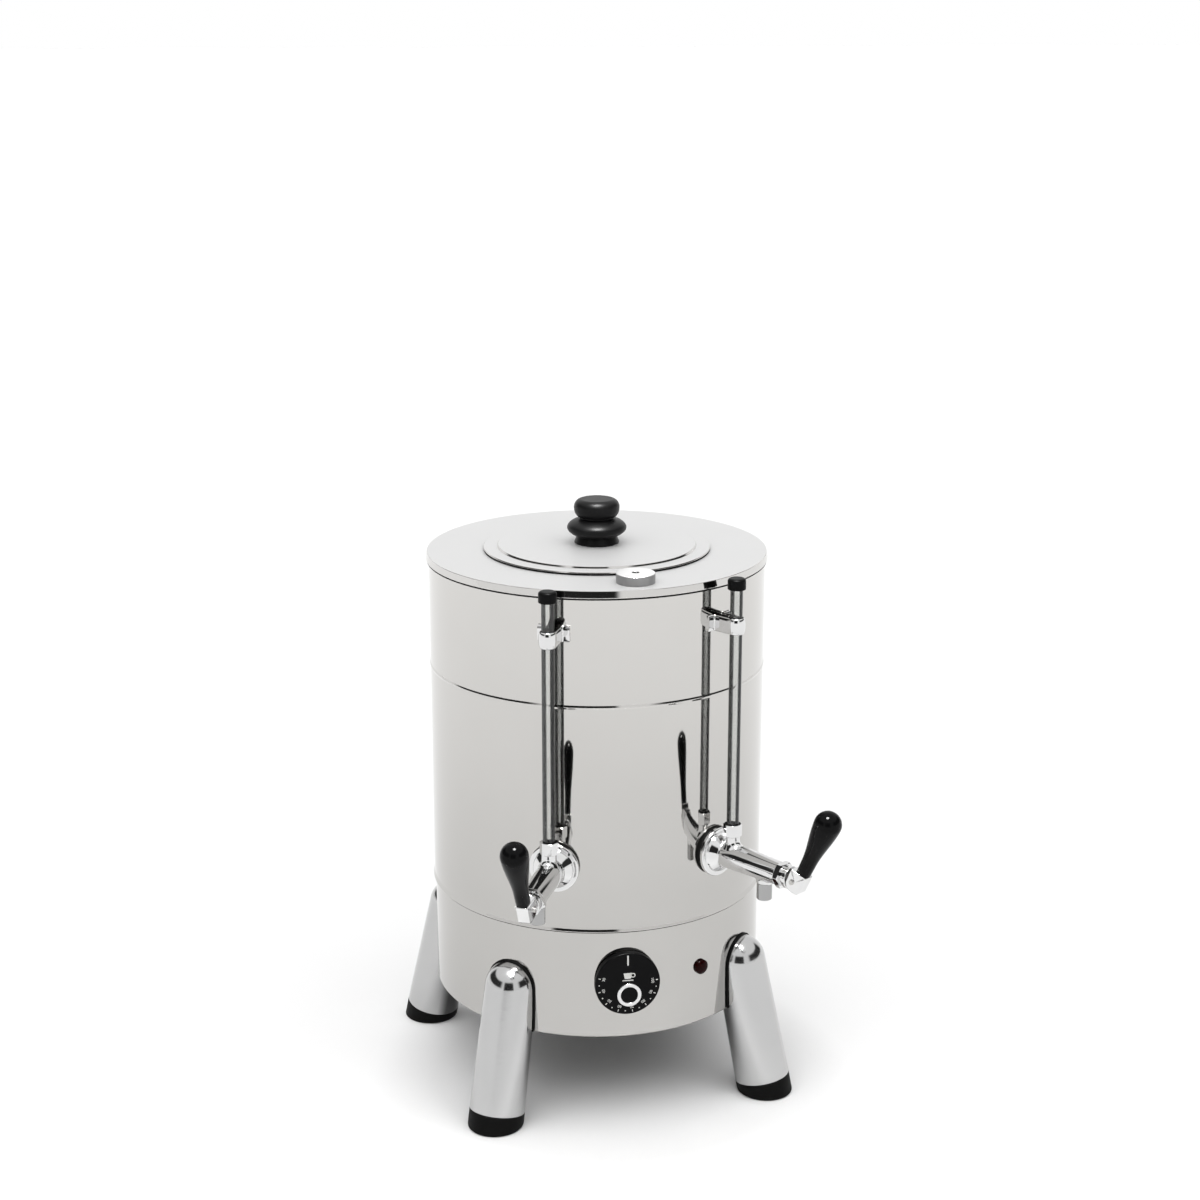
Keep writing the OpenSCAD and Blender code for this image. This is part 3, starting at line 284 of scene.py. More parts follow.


# The flat tops are coloured lighter than the turned edges of the same steel: painted light, standing in
# for the soft box's sheen that the lid and the deck are kept out of.
FLAT_DARK, FLAT_LIGHT = (0.69, 0.69, 0.688, 1), (0.74, 0.74, 0.738, 1)
EDGE_TONE, EDGE_ROUGH, FLAT_METALLIC = (0.64, 0.63, 0.615, 1), 0.05, 0.4
pressed_steel, tree, shader = finish("pressed_steel")
clouded, _ = polish_marks(tree, 11.0, 1500.0)
flat = ranged(tree, upright(tree), 0.0, 1.0, 0.97, 0.995)
lit_top_tone = mixed(tree, clouded, FLAT_DARK, FLAT_LIGHT)
tree.links.new(mixed(tree, flat, EDGE_TONE, lit_top_tone), shader.inputs["Base Color"])
top_rough = ranged(tree, clouded, 0.52, 0.62)
rough = add(tree, "Mix", {0: flat, 2: EDGE_ROUGH, 3: top_rough}, data_type="FLOAT")
tree.links.new(rough.outputs[0], shader.inputs["Roughness"])
tree.links.new(ranged(tree, flat, 1.0, FLAT_METALLIC, 0, 1), shader.inputs["Metallic"])
deck_line = line([(MOUTH_R, DECK_Z - SHEET_T, 0.3), (WALL_R + RIM_GAP, DECK_Z - SHEET_T, 0.15),
                  (WALL_R + RIM_GAP, DECK_Z - RIM_DROP, 0.3), (RIM_R + RIM_LEAN, DECK_Z - RIM_DROP, 0.4),
                  (RIM_R, DECK_Z, 0.5), (MOUTH_R, DECK_Z, 0.3)], closed=True)
deck = piece("deck_ring", "urn", [skin(turned(deck_line, 256), True, True)], pressed_steel,
             ["deck"])
filler_hole = rod(COLLAR_R + COLLAR_GAP, DECK_Z - 3, DECK_Z + 3) + (0, FILLER_Y, 0)
carved(deck, mesh_of("filler_hole", [skin(filler_hole)]))

# Coffee vessel and filter basket: thin deep-drawn stainless cups, left satin inside. The vessel
# hangs by its flange in the deck's mouth, and the perforated basket hangs in the vessel.
satin_steel = metal("satin_steel", (0.50, 0.49, 0.475), (0.60, 0.59, 0.575), (0.22, 0.34),
                    14.0, 2200.0, 0.12)
CUP_T, VESSEL_R, VESSEL_FLOOR_Z, FLANGE_R = 0.8, 86.0, 216.0, 90.0
vessel_line = line([(0, VESSEL_FLOOR_Z - CUP_T, 0), (VESSEL_R, VESSEL_FLOOR_Z - CUP_T, 3.0),
                    (VESSEL_R, DECK_Z, 0.2), (FLANGE_R, DECK_Z, 0.3), (FLANGE_R, DECK_Z + CUP_T, 0.3),
                    (VESSEL_R - CUP_T, DECK_Z + CUP_T, 0.7), (VESSEL_R - CUP_T, VESSEL_FLOOR_Z, 2.4),
                    (0, VESSEL_FLOOR_Z, 0)])
piece("vessel_cup", "urn", [skin(turned(vessel_line, 192))], satin_steel,
      ["coffee_vessel"])

# Lid: one stainless pressing with a turned-down edge, a flat brim and a raised middle. It lies
# loose on the deck, over the mouth of the coffee vessel.
LID_R, LID_STEP_R, LID_EDGE_Z, LID_BRIM_Z, LID_TOP_Z = 94.5, 82.5, 456.6, 457.7, 459.5
EDGE_LEAN, STEP_LEAN = 0.4, 0.35
UNDER_BRIM_Z, UNDER_TOP_Z = LID_BRIM_Z - CUP_T, LID_TOP_Z - CUP_T
lid_line = line([(0, UNDER_TOP_Z, 0), (LID_STEP_R - CUP_T, UNDER_TOP_Z, 0.3),
                 (LID_STEP_R - CUP_T, UNDER_BRIM_Z, 0.3), (LID_R - CUP_T, UNDER_BRIM_Z, 0.1),
                 (LID_R - CUP_T, LID_EDGE_Z, 0.1), (LID_R, LID_EDGE_Z, 0.2),
                 (LID_R - EDGE_LEAN, LID_BRIM_Z, 0.5), (LID_STEP_R + STEP_LEAN, LID_BRIM_Z, 0.5),
                 (LID_STEP_R - STEP_LEAN, LID_TOP_Z, 0.5), (0, LID_TOP_Z, 0)])
piece("lid_pressing", "lid", [skin(turned(lid_line, 256))], pressed_steel, ["lid"])

# Lid knob: black thermoset moulding, a short cone under a round-edged flange, with a bulb above
# a narrow neck. One screw from under the lid holds it.
moulded_skin, given, result = effect("moulded_skin", ("Mottle scale", "Grain scale"),
                                     ("Mottle", "Grain"))
place = add(moulded_skin, "TexCoord").outputs["Object"]
mottle = add(moulded_skin, "TexNoise", {"Vector": place, "Scale": given.outputs["Mottle scale"],
                                        "Detail": 5.0, "Roughness": 0.6})
grain = add(moulded_skin, "TexNoise", {"Vector": place, "Scale": given.outputs["Grain scale"],
                                       "Detail": 2.0, "Roughness": 0.5})
moulded_skin.links.new(mottle.outputs["Fac"], result.inputs["Mottle"])
moulded_skin.links.new(grain.outputs["Fac"], result.inputs["Grain"])


def moulding(name, dark, light, rough, mottles, grains, bump, **sockets):
    """Moulded plastic or rubber: mottled tone and shine, with a fine grain as a bump."""
    look, tree, shader = finish(name, **sockets)
    marks = add(tree, "Group", {"Mottle scale": mottles, "Grain scale": grains}, node_tree=moulded_skin)
    mottled = marks.outputs["Mottle"]
    tree.links.new(mixed(tree, mottled, (*dark, 1), (*light, 1)), shader.inputs["Base Color"])
    tree.links.new(ranged(tree, mottled, *rough), shader.inputs["Roughness"])
    ridged(tree, shader, marks.outputs["Grain"], bump)
    return look


black_bakelite = moulding("black_bakelite", (0.003, 0.003, 0.0032), (0.006, 0.006, 0.0064), (0.07, 0.13),
                          60.0, 2500.0, 0.04, Specular_IOR_Level=0.08)
knob_satin = moulding("knob_satin", (0.004, 0.004, 0.0042), (0.009, 0.009, 0.0094), (0.34, 0.42),
                      60.0, 2500.0, 0.05, Specular_IOR_Level=0.16)
TOUCH = 0.02
KNOB_Z, KNOB_H, KNOB_FOOT_R, CONE_TOP_R, CONE_H = LID_TOP_Z + TOUCH, 37.2, 19.0, 16.6, 6.4
FLANGE_ROOT, FLANGE_MID, FLANGE_BULGE, FLANGE_HALF = 14.0, 13.2, 10.7, 7.6
NECK_R, NECK_Z, BULB_R, BULB_MID, BULB_LOW, CROWN_R, CROWN_FLAT = 13.9, 21.4, 19.0, 30.4, 8.4, 12.6, 11.6
foot_line = line([(0, 0, 0), (KNOB_FOOT_R, 0, 0.8), (CONE_TOP_R, CONE_H, 0)])
swing = np.radians(np.linspace(-55, 80, 32))
flange = np.stack([FLANGE_ROOT + FLANGE_BULGE * np.cos(swing) ** 1.5,
                   FLANGE_MID + FLANGE_HALF * np.sin(swing)], 1)
quarter = np.linspace(0, np.pi / 2, 20)
bulb_low = np.stack([NECK_R + (BULB_R - NECK_R) * np.sin(quarter),
                     BULB_MID - BULB_LOW * np.cos(quarter)], 1)
bulb_top = np.stack([CROWN_R + (BULB_R - CROWN_R) * np.cos(quarter),
                     BULB_MID + (KNOB_H - BULB_MID) * np.sin(quarter)], 1)
knob_line = np.concatenate([foot_line, flange, [(NECK_R, NECK_Z)], bulb_low, bulb_top[1:],
                            [(CROWN_FLAT, KNOB_H), (0, KNOB_H)]])
piece("knob_moulding", "lid", [skin(turned(knob_line) + (0, 0, KNOB_Z))], knob_satin,
      ["lid_knob"])

# Filler cap: a turned cap with a small vent hole. Its top is coloured bright and its side dark grey:
# painted light on the top and painted shade on the side. It sits loose over the filler's collar and
# lifts straight off.
CAP_R, CAP_H, CAP_BORE_R, CAP_CEILING, VENT_R = 15.5, 8.0, 14.3, 5.0, 3.0
SIDE_SHADE_DARK, SIDE_SHADE_LIGHT, TOP_PAINTED_LIGHT = (0.22, 0.22, 0.22, 1), (0.34, 0.34, 0.34, 1), (0.74, 0.74, 0.735, 1)
cap_metal, tree, shader = finish("cap_metal", Metallic=1.0)
clouded, _ = polish_marks(tree, 30.0, 3000.0)
painted_side_shade = mixed(tree, clouded, SIDE_SHADE_DARK, SIDE_SHADE_LIGHT)
cap_light_and_shade = mixed(tree, ranged(tree, upright(tree), 0, 1, 0.2, 0.8), painted_side_shade, TOP_PAINTED_LIGHT)
tree.links.new(cap_light_and_shade, shader.inputs["Base Color"])
tree.links.new(ranged(tree, clouded, 0.34, 0.44), shader.inputs["Roughness"])
cap_line = line([(VENT_R, CAP_CEILING, 0.2), (CAP_BORE_R, CAP_CEILING, 0.6), (CAP_BORE_R, 0, 0.2),
                 (CAP_R, 0, 0.3), (CAP_R, CAP_H, 1.0), (VENT_R, CAP_H, 0.2)], closed=True)
piece("filler_cap_turning", "filler_cap", [skin(turned(cap_line) + (0, FILLER_Y, DECK_Z), True, True)],
      cap_metal, ["filler_cap"])

# Dark rubber pieces put where the shade falls: a disc under the filler cap's vent, a ring under the
# lid's brim, and two beads below the deck's rim and below the shell's lap. They are painted shade for
# the dark vent hole and for the shadow gaps of these joints.
rubber = moulding("rubber", (0.002, 0.002, 0.002), (0.005, 0.005, 0.0048), (0.50, 0.66),
                  90.0, 5000.0, 0.15, Specular_IOR_Level=0.08)
SHADE_PIECE_LAP = 0.05
VENT_SHADE_R, VENT_SHADE_T, VENT_SEAT = VENT_R + 1.5, 0.8, DECK_Z + CAP_CEILING
LID_SHADE_IN, LID_SHADE_OUT = 92.6, 94.2
RIM_FOOT_Z, RIM_BEAD, RIM_PROUD, RIM_TUCK = DECK_Z - RIM_DROP, 1.5, 0.5, 0.1
LAP_BEAD, LAP_PROUD = 0.8, 0.2


def band(inner, outer, low, high, *rounds):
    """Closed oblong section of a ring, from its lower inner corner round to its upper inner one."""
    return line(list(zip((inner, outer, outer, inner), (low, low, high, high), rounds)), closed=True)


vent_line = line([(0, VENT_SEAT - VENT_SHADE_T, 0), (VENT_SHADE_R, VENT_SEAT - VENT_SHADE_T, 0.2),
                  (VENT_SHADE_R, VENT_SEAT - TOUCH, 0.2), (0, VENT_SEAT - TOUCH, 0)])
piece("vent_shade_disc", "filler_cap", [skin(turned(vent_line, 48) + (0, FILLER_Y, 0))], rubber)
brim_line = band(LID_SHADE_IN, LID_SHADE_OUT, DECK_Z + SHADE_PIECE_LAP, LID_EDGE_Z + SHADE_PIECE_LAP, 0.2, 0.3, 0.2, 0.2)
rim_line = band(WALL_R - SHADE_PIECE_LAP, RIM_R + RIM_PROUD, RIM_FOOT_Z - RIM_BEAD, RIM_FOOT_Z + RIM_TUCK,
                0.2, 0.6, 0.2, 0.2)
lap_line = band(SKIRT_R - SHADE_PIECE_LAP, WALL_R + LAP_PROUD, SHELL_FOOT_Z - LAP_BEAD, SHELL_FOOT_Z + SHADE_PIECE_LAP,
                0.1, 0.4, 0.1, 0.1)
for name, body, shade_line in (("lid_shade_ring", "lid", brim_line), ("rim_shade_bead", "urn", rim_line),
                         ("lap_shade_bead", "urn", lap_line)):
    piece(name, body, [skin(turned(shade_line, 256), True, True)], rubber)

# Legs: cast alloy posts with domed tops, saddled onto the base and splayed outwards, their shafts
# buffed satin. Two bolts from inside the base hold each one.
LEG_AZ = {"front_left": -45.5, "front_right": 45.5, "back_left": -127.5, "back_right": 127.5}
DOME_R, DOME_Z, TILT = 139.0, 114.5, math.radians(12.5)
LEG_TOP_R, LEG_FOOT_R = 21.25, 23.0
LEG_L = (DOME_Z - 12.0) / math.cos(TILT)


def at(points, degrees):
    """Turns points about the tank's axis, from the front towards the right."""
    c, s = math.cos(math.radians(degrees)), math.sin(math.radians(degrees))
    return points @ np.array([[c, s, 0], [-s, c, 0], [0, 0, 1]])


def on_leg(points, degrees):
    """Puts points on a leg's leaning axis, with 0 at the middle of its dome."""
    x, y, z = np.moveaxis(points, -1, 0)
    c, s = math.cos(TILT), math.sin(TILT)
    return at(np.stack([x, y * c + z * s - DOME_R, z * c - y * s + DOME_Z], -1), degrees)


def leg_profile(proud, edge):
    """Leg's outline: a tapered shaft up from its foot and a half-round dome, all grown by proud."""
    dome = np.linspace(0, np.pi / 2, 33)[1:]
    shaft = line([(0, -LEG_L, 0), (LEG_FOOT_R + proud, -LEG_L, edge), (LEG_TOP_R + proud, 0, 0)])
    return np.concatenate([shaft, (LEG_TOP_R + proud) * np.stack([np.cos(dome), np.sin(dome)], 1)])


SADDLE_GAP, TOOL_LOW, TOOL_TOP, TOOL_R = 0.1, -20.0, 200.0, 300.0
# The side of each leg that faces the tank's axis is coloured dark grey: painted shade for that shaded
# side, which the tank's mirror also shows.
INNER_PAINTED_SHADE = (0.12, 0.12, 0.12, 1)
leg_metal = metal("leg_metal", (0.49, 0.49, 0.49), (0.55, 0.55, 0.55), (0.08, 0.18),
                  22.0, 1800.0, 0.06)
tree, shader, buffed = base_of(leg_metal)
place = add(tree, "TexCoord").outputs["Object"]
spot = add(tree, "VectorMath", {0: place, 1: (1, 1, 0)}, operation="MULTIPLY").outputs[0]
spoke = add(tree, "VectorMath", {0: spot}, operation="NORMALIZE").outputs[0]
normal = add(tree, "NewGeometry").outputs["Normal"]
facing = add(tree, "VectorMath", {0: spoke, 1: normal}, operation="DOT_PRODUCT").outputs["Value"]
shaded_leg_tone = mixed(tree, ranged(tree, facing, 1, 0, -0.75, -0.45), buffed, INNER_PAINTED_SHADE)
tree.links.new(shaded_leg_tone, shader.inputs["Base Color"])
saddle = mesh_of("saddle", [skin(rod(SKIRT_R + SADDLE_GAP, SKIRT_Z - SADDLE_GAP, TOOL_TOP, 256))])
for corner, degrees in LEG_AZ.items():
    post = on_leg(turned(leg_profile(0, 0.9), 96), degrees)
    leg = piece(f"leg_casting_{corner}", "urn", [skin(post)], leg_metal, [f"leg_{corner}"])
    carved(leg, saddle.copy())

# Leg gaskets: thin black rubber between each leg's saddle and the base, a little larger than the
# leg. The leg's bolts clamp them.
GASKET_T, GASKET_PROUD, GASKET_FOOT_Z = 1.5, 1.1, SKIRT_Z + 0.5
beyond_line = band(SKIRT_R + GASKET_T, TOOL_R, TOOL_LOW, TOOL_TOP, 0, 0, 0, 0)
beyond = mesh_of("beyond", [skin(turned(beyond_line, 256), True, True)])
below = mesh_of("below", [skin(rod(TOOL_R + 20, TOOL_LOW - 10, GASKET_FOOT_Z))])
for corner, degrees in LEG_AZ.items():
    sheet = on_leg(turned(leg_profile(GASKET_PROUD, 0), 96), degrees)
    gasket = piece(f"leg_gasket_{corner}", "urn", [skin(sheet)], rubber)
    carved(gasket, saddle.copy(), beyond.copy(), below.copy())

# Feet: black rubber plugs pushed into the legs' lower ends. They are cut flat where they stand on
# the floor, so each one is taller on the outside of its leg.
SOLE_EDGE, SOLE_FLAT_R, SOLE_TUCK = 2.2, 12.0, 0.8
PLUG_TUCK, PLUG_EDGE, PLUG_STEP = 0.9, 0.5, 1.2
turn = np.linspace(0, np.pi / 2, 8)
sole = np.stack([LEG_FOOT_R - SOLE_EDGE * (1 - np.sin(turn)), SOLE_EDGE * (1 - np.cos(turn))], 1)
low = np.concatenate([[(0, 0), (SOLE_FLAT_R, 0)], sole, [(LEG_FOOT_R, SOLE_EDGE + SOLE_TUCK)]])
high = np.array([(LEG_FOOT_R, -PLUG_TUCK), (LEG_FOOT_R, -PLUG_EDGE), (LEG_FOOT_R - PLUG_EDGE, 0),
                 (LEG_FOOT_R - PLUG_STEP, 0), (0, 0)])
foot = turned(np.concatenate([low, high]), 96)
floor_cut = (foot[..., 1] * math.sin(TILT) - DOME_Z) / math.cos(TILT)
foot[:, :len(low), 2] += floor_cut[:, :len(low)]
foot[:, len(low):, 2] -= LEG_L + TOUCH
for corner, degrees in LEG_AZ.items():
    piece(f"foot_plug_{corner}", "urn", [skin(on_leg(foot, degrees))], rubber,
          [f"foot_{corner}"])

# Thermostat dial: a flat black moulding on the thermostat's spindle, with a white printed scale,
# an index line, a cup sign and a silver ring.
DIAL_AZ, CONTROL_Z, DIAL_R, DIAL_BACK, DIAL_FACE = -5.0, 126.5, 26.75, 139.4, 145.4


def outward(points, radius, height):
    """Lays points on an upright wall: their Z points outwards from the tank and their Y up."""
    x, y, z = np.moveaxis(points, -1, 0)
    return np.stack([x, -(radius + z), height + y], -1)


black_plastic = moulding("black_plastic", (0.003, 0.003, 0.0032), (0.006, 0.006, 0.0064), (0.30, 0.42),
                         70.0, 4000.0, 0.08, Specular_IOR_Level=0.06)
dial_line = line([(0, 0, 0), (DIAL_R, 0, 0.4), (DIAL_R, DIAL_FACE - DIAL_BACK, 1.0),
                  (0, DIAL_FACE - DIAL_BACK, 0)])
piece("dial_moulding", "dial", [skin(at(outward(turned(dial_line), DIAL_BACK, CONTROL_Z), DIAL_AZ))],
      black_plastic, ["dial"])


def slab(outline, half, edge, steps=6):
    """Flat bar with a closed outline, as (across, outline): its two faces are drawn in by the
    outline's own normals and rounded over a quarter circle, then closed on the outline's middle."""
    way = unit(np.roll(outline, -1, 0) - np.roll(outline, 1, 0))
    normal = np.stack([way[:, 1], -way[:, 0]], 1)
    t = np.linspace(0, np.pi / 2, steps)
    inset = edge * (1 - np.cos(t))[::-1]
    across = half - edge + edge * np.sin(t)[::-1]
    inset = np.concatenate([[2 * edge], inset, [0, 0], inset[::-1], [2 * edge]])
    across = np.concatenate([[half], across, [half - 2 * edge, 2 * edge - half], -across[::-1], [-half]])
    rings = outline[:, None] - normal[:, None] * inset[None, :, None]
    middle = np.broadcast_to(outline.mean(0), (len(outline), 1, 2))
    rings = np.concatenate([middle, rings, middle], 1)
    across = np.concatenate([[half], across, [-half]])
    return np.concatenate([np.broadcast_to(-across[None, :, None], rings.shape[:2] + (1,)), rings], -1)


def round_outline(radius, at_x=0.0, at_y=0.0, steps=20):
    """Circle as an outline, anticlockwise."""
    a = np.linspace(0, 2 * np.pi, steps, endpoint=False)
    return np.stack([at_x + radius * np.cos(a), at_y + radius * np.sin(a)], 1)


def box_outline(width, height, at_x=0.0, at_y=0.0, turn=0.0):
    """Oblong as an outline, turned about the dial's middle by an angle in degrees."""
    w, h = width / 2, height / 2
    flat = line([(at_x - w, at_y - h, 0.1), (at_x + w, at_y - h, 0.1), (at_x + w, at_y + h, 0.1),
                 (at_x - w, at_y + h, 0.1)], closed=True, arc_steps=2, hold=0.1)
    c, n = math.cos(math.radians(turn)), math.sin(math.radians(turn))
    return flat @ np.array([[c, n], [-n, c]])


def on_dial(points, lift=0.0):
    """Points (right, up, proud) on the dial's face."""
    return at(outward(points, DIAL_FACE + lift, CONTROL_Z), DIAL_AZ)


white_print = moulding("white_print", (0.62, 0.62, 0.60), (0.78, 0.78, 0.76), (0.45, 0.6),
                       300.0, 6000.0, 0.05)
SCALE_FROM, SCALE_TO, SCALE_STEPS, TICK_R, DOT_R = 165.0, 365.0, 8, 24.0, 23.6
PRINT_HALF, PRINT_EDGE, CUP_HANDLE = 0.06, 0.02, (4.2, 7.4, 0.0)
scale_angles = np.linspace(SCALE_FROM, SCALE_TO, SCALE_STEPS)
index_line, saucer = box_outline(1.3, 8.6, 0.0, 20.6), box_outline(9.0, 0.9, 0.0, 3.2)
cup = line([(-3.6, 9.6, 0.2), (-2.6, 4.6, 1.2), (2.6, 4.6, 1.2), (3.6, 9.6, 0.2)], closed=True)
shapes = [index_line, saucer, cup]
shapes += [box_outline(0.7, 1.8, 0.0, TICK_R, turn - 90) for turn in scale_angles]
for turn in np.radians((scale_angles[:-1] + scale_angles[1:]) / 2):
    shapes.append(round_outline(0.5, DOT_R * math.cos(turn), DOT_R * math.sin(turn)))
marks = [skin(on_dial(np.roll(slab(shape, PRINT_HALF, PRINT_EDGE, 3), -1, -1))) for shape in shapes]
handle = turned(band(1.2, 2.0, -PRINT_HALF, PRINT_HALF, *[PRINT_EDGE] * 4), 32) + CUP_HANDLE
marks.append(skin(on_dial(handle), True, True))
piece("dial_scale", "dial", marks, white_print)

# Numbers of the scale: plain temperature steps, printed in the same white with their tops outwards.
# Each is set as type, made a mesh, and laid on the dial's face.
NUMBER_R, NUMBER_H, PRINT_RISE, FIRST_NUMBER, NUMBER_STEP = 20.4, 3.4, 0.05, 30, 10
numbers = []
for step, turn in enumerate(np.radians(scale_angles - 90)):
    letters = bpy.data.curves.new("letters", "FONT")
    letters.body = str(FIRST_NUMBER + NUMBER_STEP * step)
    letters.size, letters.extrude, letters.resolution_u = NUMBER_H, PRINT_RISE, 4
    letters.align_x, letters.align_y = "CENTER", "CENTER"
    sign = bpy.data.objects.new("letters", letters)
    bpy.context.scene.collection.objects.link(sign)
    shape = bpy.data.meshes.new_from_object(sign.evaluated_get(bpy.context.evaluated_depsgraph_get()))
    flat = np.array([v.co[:] for v in shape.vertices]) + (0, NUMBER_R, 0)
    c, n = math.cos(turn), math.sin(turn)
    flat = flat @ np.array([[c, n, 0], [-n, c, 0], [0, 0, 1]])
    shape.calc_loop_triangles()
    numbers.append((on_dial(flat), np.array([t.vertices[:] for t in shape.loop_triangles])))
    bpy.data.objects.remove(sign)
    bpy.data.curves.remove(letters)
    bpy.data.meshes.remove(shape)
piece("dial_numbers", "dial", numbers, white_print)

# Silver ring: a thin bright trim with a rounded face, pressed into a groove in the dial's lower
# half.
RING_IN, RING_OUT, RING_SUNK, RING_PROUD, RING_AT = 7.0, 10.0, 0.4, 0.5, (1.2, -9.8, 0)
dial_silver = metal("dial_silver", (0.62, 0.62, 0.62), (0.74, 0.74, 0.74), (0.15, 0.25),
                    60.0, 3000.0, 0.05)
ring_line = band(RING_IN, RING_OUT, -RING_SUNK, RING_PROUD, 0.1, 0.1, 0.4, 0.4)
piece("dial_ring", "dial", [skin(on_dial(turned(ring_line, 64) + RING_AT), True, True)], dial_silver)

# Pilot lamp: a small domed lens of dark red plastic with moulded facets, snapped into a hole in the
# base beside the dial.
LAMP_AZ, LAMP_R, LAMP_FACE, LAMP_RIM, LAMP_DOME = 23.0, 6.25, 138.92, 1.6, 2.4
LENS_DARK, LENS_RED = (0.002, 0.0003, 0.0003, 1), (0.022, 0.0012, 0.0012, 1)
red_lens, tree, shader = finish("red_lens", Roughness=0.1, Specular_IOR_Level=0.06)
place = add(tree, "TexCoord").outputs["Object"]
facets = add(tree, "TexVoronoi", {"Vector": place, "Scale": 620.0}).outputs["Distance"]
tree.links.new(mixed(tree, facets, LENS_DARK, LENS_RED), shader.inputs["Base Color"])
ridged(tree, shader, facets, 0.3, 0.0004)
dome = np.linspace(0, np.pi / 2, 17)[1:]
lamp_line = np.concatenate([line([(0, 0, 0), (LAMP_R, 0, 0.2), (LAMP_R, LAMP_RIM, 0)]),
                            np.stack([LAMP_R * np.cos(dome), LAMP_RIM + LAMP_DOME * np.sin(dome)], 1)])
lens = at(outward(turned(lamp_line, 64), LAMP_FACE, CONTROL_Z), LAMP_AZ)
piece("pilot_lens_moulding", "urn", [skin(lens)], red_lens, ["pilot_lens"])

# Taps: chromed brass castings, each with a wall flange, a flared neck and a barrel. A boss on top
# takes the sight glass, and one below takes the spout.
chrome = metal("chrome", (0.68, 0.68, 0.68), (0.76, 0.76, 0.76), (0.02, 0.05), 40.0, 2600.0, 0.01)
TAP_AZ, TAP_Z = 28.75, 226.0
FLANGE_BACK, BARREL_END = 142.0, 211.0
TUBE_AT, SPOUT_AT = 158.5, 194.0
SIDES = {"left": -TAP_AZ, "right": TAP_AZ}


def boss(radius, fillet, top, bore, barrel_r, steps=96):
    """Round boss on a lying barrel: its foot is a quarter-round fillet laid on the barrel's height
    sqrt(R^2 - x^2), its side goes straight up, and its top edge rolls into the bore."""
    t = np.linspace(0, np.pi / 2, 9)
    edge = line([(radius, 0, 0), (radius, top, 0.6), (bore, top, 0.3), (bore, top - 5, 0)])[1:]
    rho = np.concatenate([radius + fillet * (1 - np.sin(t)), edge[:, 0]])
    grid = turned(np.stack([rho, np.concatenate([fillet * (1 - np.cos(t)), edge[:, 1]])], 1), steps)
    saddle = np.sqrt(np.maximum(barrel_r ** 2 - grid[..., 0] ** 2, 0))
    grid[:, :len(t), 2] += saddle[:, :len(t)]
    return grid


TAP_FLANGE_R, TAP_FLANGE_AT, COVE_R, COVE_AT = 20.5, 145.4, 16.8, 147.4
NECK_ROOT_R, NECK_END_R, NECK_END_AT, BARREL_R = 16.0, 11.0, 152.5, 9.5
barrel_line = line([(0, FLANGE_BACK, 0), (TAP_FLANGE_R, FLANGE_BACK, 0.4),
                    (TAP_FLANGE_R, TAP_FLANGE_AT, 1.2), (COVE_R, TAP_FLANGE_AT, 0.6),
                    (NECK_ROOT_R, COVE_AT, 0.9), (NECK_END_R, NECK_END_AT, 3.5),
                    (BARREL_R, BARREL_END, 0.5), (0, BARREL_END, 0)])
tube_boss = boss(radius=6.0, fillet=4.4, top=18.0, bore=5.1, barrel_r=10.5) + (0, -TUBE_AT, TAP_Z)
spout_boss = boss(radius=6.75, fillet=2.6, top=12.0, bore=5.1, barrel_r=9.7)
spout_boss = spout_boss * (1, -1, -1) + (0, -SPOUT_AT, TAP_Z)
barrel = outward(turned(barrel_line), 0, TAP_Z)
for side, degrees in SIDES.items():
    piece(f"{side}_tap_casting", "urn",
          [skin(at(grid, degrees)) for grid in (barrel, tube_boss, spout_boss)],
          chrome, [f"{side}_tap_body"])

# Spouts: short turned nozzles of chromed brass, pushed up into the taps' lower bosses. They are coloured
# darker than the castings: painted shade for the shade under the barrels.
SPOUT_BORE_R, SPOUT_R, SPOUT_LOW, SPOUT_TOP = 4.0, 6.25, 200.0, 213.98
shaded_spout_chrome = metal("shaded_spout_chrome", (0.34, 0.34, 0.34), (0.44, 0.44, 0.44), (0.06, 0.12),
                     60.0, 2600.0, 0.02)
spout_line = band(SPOUT_BORE_R, SPOUT_R, SPOUT_LOW, SPOUT_TOP, 0.5, 0.9, 0.3, 0.3)
for side, degrees in SIDES.items():
    nozzle = at(turned(spout_line, 64) + (0, -SPOUT_AT, 0), degrees)
    piece(f"{side}_spout_nozzle", "urn", [skin(nozzle, True, True)], shaded_spout_chrome,
          [f"{side}_spout"])

# Return springs: coils of bare steel wire inside the barrels, between the stem's collar and the bonnet,
# that shut the tap again. In the tap they shorten by the stem's travel as a lever opens it; here they
# are built at rest, each with a mesh of its own.
COIL_R, WIRE_R, COIL_TURNS, COIL_L, COIL_GAP = 4.7, 0.5, 3, 6.3, 0.05
SPRING_FROM, SPRING_TO, STEM_TRAVEL = 200.6, 208.0, 3.0


def capped(rings):
    """A row of rings with each end closed on the middle of its last ring."""
    ends = rings[:1], rings[-1:]
    first, last = (np.broadcast_to(end.mean(1, keepdims=True), end.shape) for end in ends)
    return np.concatenate([first, rings, last])


